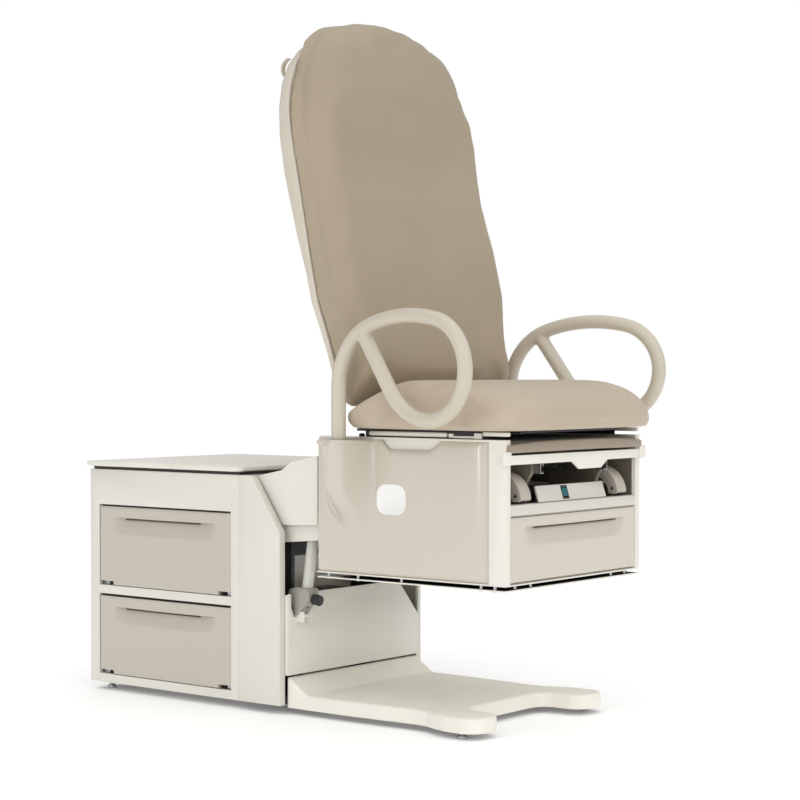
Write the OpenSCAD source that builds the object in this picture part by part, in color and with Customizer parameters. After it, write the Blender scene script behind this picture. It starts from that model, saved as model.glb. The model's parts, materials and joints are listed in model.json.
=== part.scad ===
/* [Cabinet] */
// Width across the cabinet side frames
cab_w = 550; // [500:5:600]
// Depth of the drawer cabinet
cab_d = 532; // [480:2:620]
// Depth of the slanted side walls in front of the drawers
wall_d = 135; // [125:1:160]
// Height of the cabinet's lower edge above the floor
cab_low = 21; // [16:1:24]
// Height of the cabinet's upper edge
cab_high = 575; // [570:1:600]
// Thickness of the double-skinned side frames
side_t = 15; // [12:0.5:18]
// Width of a drawer front
front_w = 470; // [440:2:480]
// Height of the lower drawer front
low_front_h = 207; // [200:1:209]
// Height of the upper drawer front
high_front_h = 208; // [190:1:230]
// Thickness of a drawer front
front_t = 13; // [10:0.5:14]
// Depth of the grip recess in a drawer front
grip_depth = 4; // [2:0.5:6]
// Thickness of the worktop
top_t = 21; // [15:1:30]
// How far the worktop stands out past the cabinet
top_lip = 14.5; // [5:0.5:25]
// Depth of the worktop
top_d = 555.5; // [545:0.5:580]

/* [Base] */
// Height of the foot plate's upper face
plate_high = 50; // [46:1:54]
// Length of the foot plate from the walls to the toes
plate_len = 585; // [520:5:640]
// Radius of the rounded toes
toe_r = 45; // [35:1:50]
// Width of one toe
toe_w = 112; // [100:1:125]
// Thickness of sheet covers
sheet = 3; // [2:0.25:4]
// Thickness of the pivot tower plates
tower_t = 12; // [8:1:14]
// Diameter of a levelling foot's disc
level_d = 25; // [20:1:32]

/* [Lift] */
// Distance between the pivots of a lift link
link_r = 400; // [390:1:410]
// Tilt of the lift links in the pictured position
link_tilt = 5; // [3:0.5:7]
// Height of the upper fixed pivot
pivot_high = 548; // [540:1:552]
// Distance between the upper and the lower pivots
pivot_gap = 120; // [112:1:126]
// Radius of the pivot shafts
shaft_r = 12; // [9:0.5:13]
// Outer width of the arm cover
cover_w = 492; // [480:1:496]
// Outer radius of the lift motor's outer tube
lift_tube_r = 13.5; // [12:0.5:14]
// Radius of the lift rod
lift_rod_r = 8; // [6:0.5:9]

/* [Carriage] */
// Length of the carriage
car_len = 552; // [545:1:570]
// Height of the carriage's lower edge
car_low = 353; // [345:1:360]
// Height of the carriage's upper edge
car_high = 677; // [672:1:680]
// Thickness of the glossy side panels
panel_t = 10; // [8:0.5:11]
// Height of the front drawer's face
car_front_h = 146; // [130:1:147]
// Height of the rail above the front drawer
rail_h = 24; // [18:1:30]
// Gap between the carriage and the safety pan
pan_gap = 9; // [8:0.5:12]
// Half the width of the badge plate
badge_w = 43; // [30:1:50]
// Height of the badge plate
badge_h = 71; // [60:1:90]

/* [Grab bars] */
// Radius of the grab bar tube
bar_r = 18; // [15:0.5:19]
// Clearance between the middle of a post and the side of the seat
bar_clear = 8; // [6:1:12]
// Outward turn of the loops
bar_splay = 8; // [5:1:12]

/* [Cushions] */
// Width of the seat cushion
seat_w = 664; // [640:2:668]
// Length of the seat cushion
seat_len = 507; // [480:1:520]
// Thickness of the seat cushion
seat_t = 103; // [90:1:105]
// How much wider the back cushion is than the seat
back_over = 10; // [0:2:20]
// Length of the back from its hinge
back_len = 989; // [940:1:1010]
// Thickness of the back cushion
back_t = 86; // [80:1:88]
// Lean of the back from upright in the pictured position
back_lean = 12; // [10:0.5:14]
// Thickness of the foot cushion
foot_t = 30; // [26:1:34]

/* [Hidden] */
$fn = 48;

// Clearances
eps = 1;
fit = 0.05;
touch_gap = 0.3;
seam_gap = 1;

// Finishes
cream = "#e6e3da";
gloss_beige = "#cfc3b4";
vinyl_back = "#a8987f";
vinyl_seat = "#b9a88e";
steel = "#a9abad";
dark = "#26262a";
motor_grey = "#8f9192";
teal = "#0f6f74";

// Main places, from the floor's middle point
half_w = cab_w / 2;
worktop_rear_y = 706.5;
front_shift = 3;
rear_y = worktop_rear_y - top_lip;
seam_y = rear_y - cab_d;
wall_y = seam_y - wall_d;
worktop_front_y = worktop_rear_y - top_d;
front_y0 = seam_y + (cab_d - front_w) / 2 - front_shift;
front_y1 = front_y0 + front_w;
low_front_z = 44;
low_front_z1 = low_front_z + low_front_h;
deck_t = 3;
deck_low_z = 39;
deck_mid_z = 258;
front_lift = 14;
high_front_z = deck_mid_z + deck_t + front_lift;
high_front_z1 = high_front_z + high_front_h;

// Pivots of the lift
pivot_back = 88;
pivot_y = wall_y + pivot_back;
pivot_low = pivot_high - pivot_gap;
link_dy = -link_r * cos(link_tilt);
link_dz = link_r * sin(link_tilt);
car_pivot_y = pivot_y + link_dy;
car_pivot_high = pivot_high + link_dz;
car_pivot_low = pivot_low + link_dz;

// Carriage places
car_tail = 191.5;
car_y1 = car_pivot_y + car_tail;
car_y0 = car_y1 - car_len;
plate_t = 8;
inner_half = half_w - panel_t - plate_t;
post_back = 124;
post_y = car_y1 - post_back;
bar_x = seat_w / 2 + bar_clear;
face_lift = 7;
face_gap = 2;
face_z = car_low + face_lift;
front_rail_z = face_z + car_front_h + face_gap;
cavity_low = front_rail_z + rail_h;
tray_drop = 37;
tray_low = car_high - tray_drop;

// Hinge of the back, and the directions along and across it
hinge_back = 38;
hinge_rise = 13;
hinge_y = post_y + hinge_back;
hinge_z = car_high + hinge_rise;

// A box from its two corners
module box_at(x0, x1, y0, y1, z0, z1) {
    translate([x0, y0, z0]) cube([x1 - x0, y1 - y0, z1 - z0]);
}

// A plate across the width: an outline in depth and height
module side_plate(x0, x1, points) {
    translate([x0, 0, 0]) rotate([90, 0, 90]) linear_extrude(x1 - x0) polygon(points);
}

// A round bar across the width
module cross_bar(x0, x1, y, z, r) {
    translate([x0, y, z]) rotate([0, 90, 0]) cylinder(h = x1 - x0, r = r);
}

// A round bar along the depth
module long_bar(x, y0, y1, z, r) {
    translate([x, y1, z]) rotate([90, 0, 0]) cylinder(h = y1 - y0, r = r);
}

module both_sides() {
    children();
    mirror([1, 0, 0]) children();
}

// Welded base frame
rail_w = 40;
rail_x = 190;
rail_low = 20;
rail_high = 38;
tower_x = 150;
tower_back = 25;
tower_y0 = pivot_y - tower_back;
tie_rise = 60;
tie_t = 28;
tie_gap = 12;
boss_r = 22;
cross_w = 40;
lug_foot = 20;
foot_reach = 530;
foot_y_front = wall_y - foot_reach;
foot_y_rear = rear_y - cross_w;
foot_x_front = 246;
foot_x_rear = 236;
foot_pad_w = 13;
arch_inset = 15;
module base_frame() {
    color(dark) difference() {
        union() {
            both_sides() box_at(rail_x, rail_x + rail_w, foot_y_front - cross_w / 2, rear_y - side_t,
                rail_low, rail_high);
            both_sides() box_at(rail_x + rail_w - eps, foot_x_front + foot_pad_w, foot_y_front - cross_w / 2,
                foot_y_front + cross_w / 2, rail_low, rail_high);
            box_at(-rail_x - eps, rail_x + eps, arch_y + arch_inset, arch_y + arch_inset + cross_w,
                rail_low, rail_high);
            for (y = [foot_y_rear - cross_w / 2, tower_y0])
                box_at(-foot_x_rear - cross_w / 2, foot_x_rear + cross_w / 2, y, y + cross_w, rail_low,
                    rail_high);
            both_sides() box_at(tower_x, tower_x + tower_t, tower_y0, seam_y - seam_gap, rail_low,
                pivot_high + boss_r / 2);
            for (z = [rail_high + tie_rise, pivot_low - tie_rise])
                box_at(-tower_x - eps, tower_x + eps, seam_y - tie_gap - tie_t, seam_y - tie_gap, z,
                    z + cross_w);
            box_at(-foot_x_rear, -tower_x + eps, wall_y - lug_foot, tower_y0 + cross_w, rail_low, rail_high);
            lift_lug();
        }
        for (z = [pivot_high, pivot_low])
            cross_bar(-half_w, half_w, pivot_y, z, shaft_r);
        for (x = [-1, 1])
            for (place = [[foot_x_front, foot_y_front], [foot_x_rear, foot_y_rear]])
                translate([x * place[0], place[1], 0]) cylinder(h = rail_high + eps, r = stud_r + fit);
    }
}

// Levelling feet: a disc, a stem and the nut above the frame
stud_r = 5;
disc_h = 5;
nut_r = 7.5;
module leveling_foot() {
    cylinder(h = disc_h, r = level_d / 2);
    cylinder(h = rail_high, r = stud_r);
    translate([0, 0, disc_h]) cylinder(h = rail_low - disc_h, r = nut_r);
}
module leveling_feet() {
    color(steel) both_sides() {
        translate([foot_x_front, foot_y_front, 0]) leveling_foot();
        translate([foot_x_rear, foot_y_rear, 0]) leveling_foot();
    }
}

// Foot plate: a ramp at the walls, a flat shell and two rounded toes around an arch
plate_low = 11;
plate_inset = 24;
waist_inset = 36;
flare_inset = 4;
plate_half = half_w - plate_inset;
plate_waist = half_w - waist_inset;
plate_flare = half_w - flare_inset;
plate_tip_y = wall_y - plate_len;
arch_depth = 120;
arch_y = plate_tip_y + arch_depth;
ramp_high = 92;
ramp_len = 62;
function toe_arc(cx, cy, r, a0, a1, n) = [for (i = [0:n]) [cx + r * cos(a0 + (a1 - a0) * i / n),
    cy + r * sin(a0 + (a1 - a0) * i / n)]];
function half_plate() = concat(
    [[plate_half, wall_y], [plate_half, wall_y - plate_len * waist_shares[0]],
     [plate_waist, wall_y - plate_len * waist_shares[1]],
     [plate_waist + (plate_flare - plate_waist) * 0.5, wall_y - plate_len * waist_shares[2]],
     [plate_flare, wall_y - plate_len * waist_shares[3]]],
    toe_arc(plate_flare - toe_r, plate_tip_y + toe_r, toe_r, 0, -90, 8),
    toe_arc(plate_flare - toe_w + toe_r, plate_tip_y + toe_r, toe_r, -90, -180, 8),
    toe_arc(plate_flare - toe_w - toe_r, arch_y - toe_r, toe_r, 0, 90, 6));
waist_shares = [0.28, 0.66, 0.76, 0.86];
function plate_outline() = concat(half_plate(), [for (p = flip(half_plate())) [-p[0], p[1]]]);
function flip(list) = [for (i = [len(list) - 1:-1:0]) list[i]];
module foot_plate() {
    color(cream) difference() {
        union() {
            translate([0, 0, plate_low]) linear_extrude(plate_high - plate_low) polygon(plate_outline());
            side_plate(-plate_half, plate_half, [[wall_y, plate_low], [wall_y, ramp_high],
                [wall_y - ramp_len, plate_high], [wall_y - ramp_len, plate_low]]);
        }
        translate([0, 0, plate_low - eps]) linear_extrude(plate_high - plate_low - sheet + eps)
            offset(delta = -sheet) polygon(plate_outline());
        side_plate(-plate_half + sheet, plate_half - sheet, [[wall_y - sheet, plate_low - eps],
            [wall_y - sheet, ramp_high - sheet * 2], [wall_y - ramp_len, plate_high - sheet],
            [wall_y - ramp_len, plate_low - eps]]);
        box_at(-foot_x_rear - touch_gap, -tower_x + tower_t, wall_y - lug_foot - seam_gap, wall_y + eps,
            0, plate_high - sheet - eps);
        both_sides() box_at(rail_x - touch_gap, rail_x + rail_w + touch_gap, wall_y - lug_foot, wall_y + eps,
            0, rail_high + touch_gap);
    }
}

// Cabinet side frame with an opening for each drawer front
module side_frame() {
    difference() {
        box_at(half_w - side_t, half_w, seam_y, rear_y, cab_low, cab_high);
        for (z = [[low_front_z, low_front_z1], [high_front_z, high_front_z1]])
            box_at(half_w - side_t - eps, half_w + eps, front_y0 - seam_gap, front_y1 + seam_gap,
                z[0] - seam_gap, z[1] + seam_gap);
    }
}
module side_frame_left() { color(cream) mirror([1, 0, 0]) side_frame(); }
module side_frame_right() { color(cream) side_frame(); }

module rear_panel() {
    color(cream) difference() {
        box_at(-half_w + side_t, half_w - side_t, rear_y - side_t, rear_y, cab_low, cab_high);
        box_at(-inlet_w / 2, inlet_w / 2, rear_y - side_t - eps, rear_y + eps, inlet_z, inlet_z + inlet_h);
    }
}
module inner_partition() {
    color(cream) box_at(-half_w + side_t, half_w - side_t, seam_y, seam_y + deck_t, deck_low_z, cab_high);
}
module cabinet_decks() {
    color(cream) for (z = [deck_low_z, deck_mid_z])
        box_at(-half_w + side_t, half_w - side_t, seam_y + deck_t, rear_y - side_t, z, z + deck_t);
}

// Slanted side wall: a plate with an inward flange along its front edge
flange_w = 20;
wall_top_run = 93;
wall_knee_run = 12;
wall_knee_drop = 117;
wall_foot_drop = 134;
function wall_profile(t, over) = [[seam_y + over, cab_low - over], [seam_y + over, cab_high + over],
    [wall_y + wall_top_run + t * 4 / 3, cab_high + over],
        [wall_y + wall_knee_run + t, cab_high - wall_knee_drop - t / 3],
    [wall_y + t, cab_high - wall_foot_drop - t / 3], [wall_y + t, cab_low - over]];
module side_wall() {
    difference() {
        side_plate(half_w - flange_w, half_w, wall_profile(0, 0));
        side_plate(half_w - flange_w - eps, half_w - sheet, wall_profile(sheet, eps));
    }
}
module side_wall_left() { color(cream) mirror([1, 0, 0]) side_wall(); }
module side_wall_right() { color(cream) side_wall(); }

// Worktop with rounded corners and a softened upper edge
top_corner_r = 28;
top_edge_r = 5;
module top_outline(inset) {
    x = half_w + top_lip - top_corner_r;
    y0 = worktop_front_y + top_corner_r;
    y1 = worktop_rear_y - top_corner_r;
    for (px = [-x, x])
        for (py = [y0, y1])
            translate([px, py]) circle(r = top_corner_r - inset);
    translate([-x, y0 - top_corner_r + inset]) square([2 * x, y1 - y0 + 2 * (top_corner_r - inset)]);
    translate([-x - top_corner_r + inset, y0]) square([2 * (x + top_corner_r - inset), y1 - y0]);
}
module worktop() {
    color(cream) {
        translate([0, 0, cab_high]) linear_extrude(top_t - top_edge_r) top_outline(0);
        translate([0, 0, cab_high + top_t - top_edge_r]) linear_extrude(top_edge_r)
            top_outline(top_edge_r / 2);
    }
}

// Front cover between the walls, notched around the lift motor and cut off at the other corner
cover_low = ramp_high + seam_gap;
cover_high = 290;
cover_front = 9;
cover_return = 23;
corner_drop = 96;
corner_run = 66;
corner_edge = 20;
notch_w = 34;
notch_deep = 74;
notch_shares = [1, 0.6, 0.42];
module front_cover() {
    x = half_w - flange_w - touch_gap;
    y = wall_y - cover_front;
    a = notch_w * notch_shares[1];
    deep = cover_high - notch_deep;
    knee = cover_high - notch_deep * notch_shares[2];
    color(cream) {
        translate([0, y + sheet, 0]) rotate([90, 0, 0]) linear_extrude(sheet)
            polygon([[-x, cover_low], [x, cover_low], [x, cover_high - corner_drop],
                [x - corner_run, cover_high - corner_edge], [x - corner_run - corner_edge, cover_high],
                [lift_x + notch_w + lug_out, cover_high], [lift_x + notch_w, knee], [lift_x + a, deep],
                [lift_x - a, deep], [lift_x - notch_w, knee], [lift_x - notch_w, cover_high],
                    [-x, cover_high]]);
        both_sides() box_at(x - sheet, x, y + eps, y + cover_return, cover_low, cover_high - corner_drop);
    }
}

// Fixed runners that the pass-through drawers ride on
runner_w = 22;
runner_gap = 2;
notch_side = 27;
low_runner_h = 10;
high_runner_h = 22;
module drawer_runners() {
    color(steel) for (y = [front_y0 + runner_gap, front_y1 - runner_gap - runner_w]) {
        box_at(-half_w + side_t, half_w - side_t, y, y + runner_w, deck_low_z + deck_t,
            deck_low_z + deck_t + low_runner_h);
        box_at(-half_w + side_t, half_w - side_t, y, y + runner_w, deck_mid_z + deck_t,
            deck_mid_z + deck_t + high_runner_h);
    }
}

control_w = 120;
control_d = 72;
control_h = 130;
control_z = 148;
module control_box() {
    color(dark) box_at(-control_w / 2, control_w / 2, seam_y - control_d, seam_y, control_z,
        control_z + control_h);
}

inlet_w = 50;
inlet_h = 28;
inlet_z = 64;
inlet_d = 25;
inlet_rim = 6;
inlet_rim_t = 2;
inlet_wall = 9;
inlet_floor = 5;
module power_inlet() {
    color(dark) difference() {
        union() {
            box_at(-inlet_w / 2 + touch_gap, inlet_w / 2 - touch_gap, rear_y - inlet_d, rear_y + eps,
                inlet_z + touch_gap, inlet_z + inlet_h - touch_gap);
            box_at(-inlet_w / 2 - inlet_rim, inlet_w / 2 + inlet_rim, rear_y, rear_y + inlet_rim_t,
                inlet_z - inlet_rim_t, inlet_z + inlet_h + inlet_rim_t);
        }
        box_at(-inlet_w / 2 + inlet_wall, inlet_w / 2 - inlet_wall, rear_y - inlet_d + inlet_wall,
            rear_y + inlet_rim_t + eps, inlet_z + inlet_floor, inlet_z + inlet_h - inlet_floor);
    }
}

shaft_inset = 10;
shaft_half = cover_w / 2 - shaft_inset;
module pivot_shafts() {
    color(steel) for (z = [pivot_high, pivot_low])
        cross_bar(-shaft_half, shaft_half, pivot_y, z, shaft_r);
}

// Drawer box that runs right through the cabinet
box_wall = 2;
box_inset = 8;
module through_box(z0, h) {
    x = half_w - front_t;
    difference() {
        box_at(-x, x, front_y0 + box_inset, front_y1 - box_inset, z0, z0 + h);
        box_at(-x + box_wall, x - box_wall, front_y0 + box_inset + box_wall, front_y1 - box_inset - box_wall,
            z0 + box_wall, z0 + h + eps);
    }
}

// Drawer front with a shallow curved grip near its top and a notch at each lower corner
grip_drop = 34;
grip_inset = 30;
grip_above = 6;
grip_below = 22;
grip_mid = 16;
grip_band = 7;
bow_share = 2.6;
high_notch = 10;
module grip_ring(r, h) {
    difference() {
        cylinder(h = h + eps, r = r, $fn = 180);
        translate([0, 0, -eps]) cylinder(h = h + 3 * eps, r = r - grip_band, $fn = 180);
    }
}
module drawer_front(z0, z1) {
    grip_z = z1 - grip_drop;
    grip_r = front_w * bow_share;
    difference() {
        box_at(half_w - front_t, half_w, front_y0 + seam_gap, front_y1 - seam_gap, z0, z1);
        for (y = [front_y0 - eps, front_y1 - notch_side])
            box_at(half_w - front_t - eps, half_w + eps, y, y + notch_side + eps, z0 - eps,
                z0 + notch_low(z0));
        intersection() {
            box_at(half_w - grip_depth, half_w + eps, front_y0 + grip_inset, front_y1 - grip_inset,
                grip_z - grip_below, grip_z + grip_above);
            translate([half_w - grip_depth, (front_y0 + front_y1) / 2, grip_z + grip_r - grip_mid])
                rotate([0, 90, 0]) grip_ring(grip_r, grip_depth);
        }
    }
}
function notch_low(z0) = z0 < deck_mid_z ? low_runner_h : high_notch;
box_h = 150;
module upper_drawer_box() { color(cream) through_box(deck_mid_z + deck_t + high_runner_h + touch_gap,
    box_h); }
module lower_drawer_box() { color(cream) through_box(deck_low_z + deck_t + low_runner_h + touch_gap,
    box_h); }
module upper_front_left() { color(gloss_beige) mirror([1, 0, 0]) drawer_front(high_front_z, high_front_z1); }
module upper_front_right() { color(gloss_beige) drawer_front(high_front_z, high_front_z1); }
module lower_front_left() { color(gloss_beige) mirror([1, 0, 0]) drawer_front(low_front_z, low_front_z1); }
module lower_front_right() { color(gloss_beige) drawer_front(low_front_z, low_front_z1); }

// Places a shape drawn along the depth into the frame of a lift link, its fixed pivot at the origin
module on_link(z) {
    translate([0, pivot_y, z]) rotate([-link_tilt, 0, 0]) children();
}

// Upper link: two beams, the cross tubes that carry the cover and the pin of the lift rod
beam_x = 165;
beam_t = 15;
beam_half_h = 22;
tube_r = 10;
tube_run = 58;
tube_rise = 6;
cover_half = cover_w / 2;
module upper_link() {
    color(cream) difference() {
        union() {
            on_link(pivot_high) both_sides() {
                box_at(beam_x, beam_x + beam_t, -link_r, 0, -beam_half_h, beam_half_h);
                for (y = [-link_r, 0])
                    cross_bar(beam_x, beam_x + beam_t, y, 0, boss_r);
            }
            cross_bar(-cover_half + sheet, cover_half - sheet, pivot_y - tube_run, pivot_high + tube_rise,
                tube_r);
            cross_bar(-cover_half + sheet, cover_half - sheet, lift_pin_y, lift_pin_z, lift_pin_r);
        }
        cross_bar(-half_w, half_w, pivot_y, pivot_high, shaft_r + fit);
        cross_bar(-half_w, half_w, car_pivot_y, car_pivot_high, shaft_r + fit);
    }
}

// Arm cover: a wide sheet shell, open below, notched in front of the worktop
hood_tail = 16;
hood_step = 70;
hood_bend = 97;
hood_len = 184;
hood_rises = [24, 42, 62, 80];
hood_drops = [87, 92, 50];
hood_foot = 74;
cover_top = [[pivot_y + hood_tail, pivot_high + hood_rises[0]],
    [pivot_y - hood_step, pivot_high + hood_rises[1]],
    [pivot_y - hood_bend, pivot_high + hood_rises[2]], [pivot_y - hood_len, pivot_high + hood_rises[3]]];
cover_bottom = [[pivot_y - hood_len, pivot_high - hood_drops[0]],
    [pivot_y - hood_foot, pivot_high - hood_drops[1]],
    [pivot_y + hood_tail, pivot_high - hood_drops[2]]];
module arm_cover() {
    color(cream) {
        both_sides() side_plate(cover_half - sheet, cover_half, concat(cover_top, cover_bottom));
        side_plate(-cover_half + sheet / 2, cover_half - sheet / 2, concat(cover_top,
            [for (i = [3:-1:0]) [cover_top[i][0], cover_top[i][1] - sheet]]));
    }
}

// Lower link: two cheeks and a belly plate between them
cheek_x = 228;
cheek_t = 6;
cheek_low = 20;
cheek_high = 48;
belly_half = 178;
belly_share = 0.52;
belly_rear = 72;
belly_bar = 12;
belly_bar_h = 10;
module lower_link() {
    color(cream) difference() {
        on_link(pivot_low) {
            both_sides() {
                box_at(cheek_x, cheek_x + cheek_t, -link_r, 0, -cheek_low, cheek_high);
                for (y = [-link_r, 0])
                    cross_bar(cheek_x, cheek_x + cheek_t, y, 0, boss_r);
            }
            box_at(-belly_half, belly_half, -link_r * belly_share, -belly_rear, -cheek_low,
                -cheek_low + sheet);
            for (y = [-link_r * belly_share - belly_bar + eps, -belly_rear - belly_bar])
                box_at(-cheek_x - eps, cheek_x + eps, y, y + belly_bar, -cheek_low,
                    -cheek_low + belly_bar_h);
        }
        cross_bar(-half_w, half_w, pivot_y, pivot_low, shaft_r + fit);
        cross_bar(-half_w, half_w, car_pivot_y, car_pivot_low, shaft_r + fit);
    }
}

// Lift motor: lower pivot, housing, outer tube, rod and slotted yoke
lift_x = -208;
lift_front = 20;
lift_y = wall_y - lift_front;
lift_z = 235;
lift_pin_r = 8;
lift_pin_run = 159.5;
lift_pin_rise = 22;
lift_pin_y = pivot_y - lift_pin_run;
lift_pin_z = pivot_high + lift_pin_rise;
lift_len = norm([lift_pin_y - lift_y, lift_pin_z - lift_z]);
lift_lean = atan2(lift_y - lift_pin_y, lift_pin_z - lift_z);
lug_out = 16;
lug_t = 4;
lug_d = 12;
lug_low = 14;
lug_pin_r = 6;
housing_low = 18;
housing_h = 64;
housing_wall = 5;
collar_wall = 7;
collar_h = 10;
collar_over = 4;
eye_r = 12;
eye_half = 9;
eye_high = 24;
gear_half = 12;
gear_out = 24;
gear_low = 34;
gear_high = 60;
cap_len = 22;
cap_r = 13;
rod_room = 26;
tube_end = 208;
rod_foot = 134;
yoke_half_y = 18;
yoke_back = 8;
yoke_half_z = 13;
yoke_wall = 7;
yoke_half_x = 6;
rod_over = 2;
module on_lift() {
    translate([lift_x, lift_y, lift_z]) rotate([lift_lean, 0, 0]) children();
}
module lift_lug() {
    for (x = [lift_x - lug_out, lift_x + lug_out - lug_t]) {
        box_at(x, x + lug_t, wall_y + touch_gap, wall_y + lug_low, rail_low, lift_z + lug_d);
        box_at(x, x + lug_t, lift_y - lug_d, wall_y + lug_low, lift_z - lug_low, lift_z + lug_d);
    }
    cross_bar(lift_x - lug_out, lift_x + lug_out, lift_y, lift_z, lug_pin_r);
}
module lift_housing() {
    color(motor_grey) difference() {
        on_lift() {
            translate([0, 0, housing_low]) cylinder(h = housing_h - housing_low,
                r = lift_tube_r + housing_wall);
            translate([0, 0, housing_h + collar_over - collar_h]) cylinder(h = collar_h,
                r = lift_tube_r + collar_wall);
            cross_bar(-lug_out + lug_t + seam_gap, lug_out - lug_t - seam_gap, 0, 0, eye_r);
            box_at(-eye_half, eye_half, -eye_r, eye_r, 0, eye_high);
            box_at(-gear_half, gear_half, -gear_out, 0, gear_low, gear_high);
        }
        on_lift() {
            translate([0, 0, rod_room]) cylinder(h = housing_h, r = lift_rod_r + fit);
            cross_bar(-lug_out, lug_out, 0, 0, lug_pin_r + fit);
        }
    }
}
module lift_motor_cap() {
    color(dark) on_lift() translate([0, -gear_out, (gear_low + gear_high) / 2]) rotate([90, 0, 0])
        cylinder(h = cap_len, r = cap_r);
}
module lift_tube() {
    color(motor_grey) on_lift() difference() {
        translate([0, 0, housing_h + collar_over])
            cylinder(h = tube_end - housing_h - collar_over, r = lift_tube_r);
        translate([0, 0, housing_h]) cylinder(h = tube_end, r = lift_rod_r + fit);
    }
}
module lift_rod() {
    color(steel) on_lift() {
        translate([0, 0, rod_foot]) cylinder(h = lift_len - rod_foot - yoke_half_z - rod_over,
            r = lift_rod_r);
        translate([0, yoke_back, lift_len]) difference() {
            box_at(-yoke_half_x, yoke_half_x, -yoke_half_y - yoke_wall, yoke_half_y + yoke_wall,
                -yoke_half_z - yoke_wall,
                yoke_half_z + yoke_wall);
            box_at(-yoke_half_x - eps, yoke_half_x + eps, -yoke_half_y, yoke_half_y, -yoke_half_z,
                yoke_half_z);
        }
    }
}

// Carriage frame: side plates, front posts, floor under the front drawer and a bulkhead behind it
post_d = 46;
post_drop = 5;
bulk_gap = 48;
bulk_t = 4;
bulk_y = car_pivot_y - bulk_gap;
bulk_high = 590;
floor_t = 3;
rear_cut = 66;
hole_r = 12;
ledge_w = 12;
ledge_t = 3;
guide_half = 13;
guide_d = 20;
motor_block = 24;
motor_block_d = 60;
module carriage_frame() {
    color(cream) {
        both_sides() {
            box_at(inner_half, inner_half + plate_t, car_y0 + post_d - eps, car_y1, car_low, car_high);
            box_at(inner_half, half_w, car_y0, car_y0 + post_d, car_low, car_high - post_drop);
            box_at(inner_half - eps, half_w, car_y0 + post_d, car_y1, car_low, car_low + floor_t);
            box_at(inner_half, half_w, car_y0, car_y1 - rear_cut, car_high - post_drop, car_high);
        }
        box_at(-inner_half - eps, inner_half + eps, car_y0, bulk_y, car_low, car_low + floor_t);
        difference() {
            box_at(-inner_half - eps, inner_half + eps, bulk_y - bulk_t, bulk_y, car_low, bulk_high);
            for (x = [left_stirrup_x, right_stirrup_x])
                long_bar(x, bulk_y - bulk_t - eps, bulk_y + eps, stirrup_z, hole_r);
        }
        both_sides() box_at(inner_half - ledge_w, inner_half + eps, car_y0 + post_d, bulk_y,
            tray_low - ledge_t - touch_gap, tray_low - touch_gap);
        difference() {
            union() {
                box_at(-inner_half - eps, left_stirrup_x + guide_half, guide_y, guide_y + guide_d,
                    stirrup_z - guide_half, stirrup_z + guide_half);
                box_at(right_stirrup_x - guide_half, inner_half + eps, guide_y, guide_y + guide_d,
                    stirrup_z - guide_half, stirrup_z + guide_half);
            }
            for (x = [left_stirrup_x, right_stirrup_x])
                long_bar(x, guide_y - eps, guide_y + guide_d + eps, stirrup_z, stirrup_r + fit);
        }
        difference() {
            box_at(-motor_block, motor_block, bulk_y - motor_block_d, bulk_y, bulk_high - bulk_t,
                back_motor_z);
            long_bar(0, bulk_y - motor_block_d - eps, bulk_y + eps, back_motor_z, back_motor_r);
        }
    }
}

// Side panel: glossy, notched at its top, with the fairing that holds the grab bar's bush
notch_front = 225;
notch_len = 105;
notch_slope = 42;
notch_drop = 23;
notch_y0 = car_y0 + notch_front;
notch_y1 = notch_y0 + notch_len;
panel_low = car_low + floor_t;
panel_high = car_high - post_drop;
fairing_r = 36;
fairing_top = car_high - face_lift;
fairing_front = 58;
fairing_rear = 108;
fairing_foot = 90;
bush_r = 24;
bush_drop = 117;
bush_low = car_high - bush_drop;
bush_floor = 5;
module side_panel() {
    difference() {
        union() {
            side_plate(half_w - panel_t, half_w, [[car_y0 + post_d + seam_gap, panel_low],
                [car_y0 + post_d + seam_gap, panel_high], [notch_y0 - notch_slope, panel_high],
                [notch_y0, panel_high - notch_drop], [notch_y1, panel_high - notch_drop],
                [notch_y1 + notch_slope, panel_high], [car_y1, panel_high], [car_y1, panel_low]]);
            hull() {
                translate([bar_x, post_y, bush_low]) cylinder(h = fairing_top - bush_low, r = fairing_r,
                    $fn = 40);
                box_at(half_w - 2 * eps, half_w - eps, post_y - fairing_front, post_y + fairing_rear,
                    car_low + fairing_foot, fairing_top);
            }
        }
        translate([bar_x, post_y, bush_low + bush_floor]) cylinder(h = car_high, r = bush_r);
    }
}
module side_panel_left() { color(gloss_beige) mirror([1, 0, 0]) side_panel(); }
module side_panel_right() { color(gloss_beige) side_panel(); }
module bar_bushes() {
    color(dark) both_sides() translate([bar_x, post_y, bush_low + bush_floor]) difference() {
        cylinder(h = panel_high - bush_low - bush_floor, r = bush_r);
        translate([0, 0, bush_floor]) cylinder(h = car_high, r = bar_r + fit);
    }
}
badge_run = 324;
badge_rise = 181;
badge_t = 1.5;
badge_round_share = 0.76;
badge_round_r = badge_round_share * badge_h / 2;
module badge_plate() {
    color("#f4f4f2") translate([-half_w, car_y0 + badge_run, car_low + badge_rise]) rotate([90, 0, -90])
        linear_extrude(badge_t) hull() for (x = [-1, 1]) for (z = [-1, 1])
            translate([x * (badge_w - badge_round_r), z * (badge_h / 2 - badge_round_r)])
                circle(r = badge_round_r, $fn = 40);
}

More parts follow.
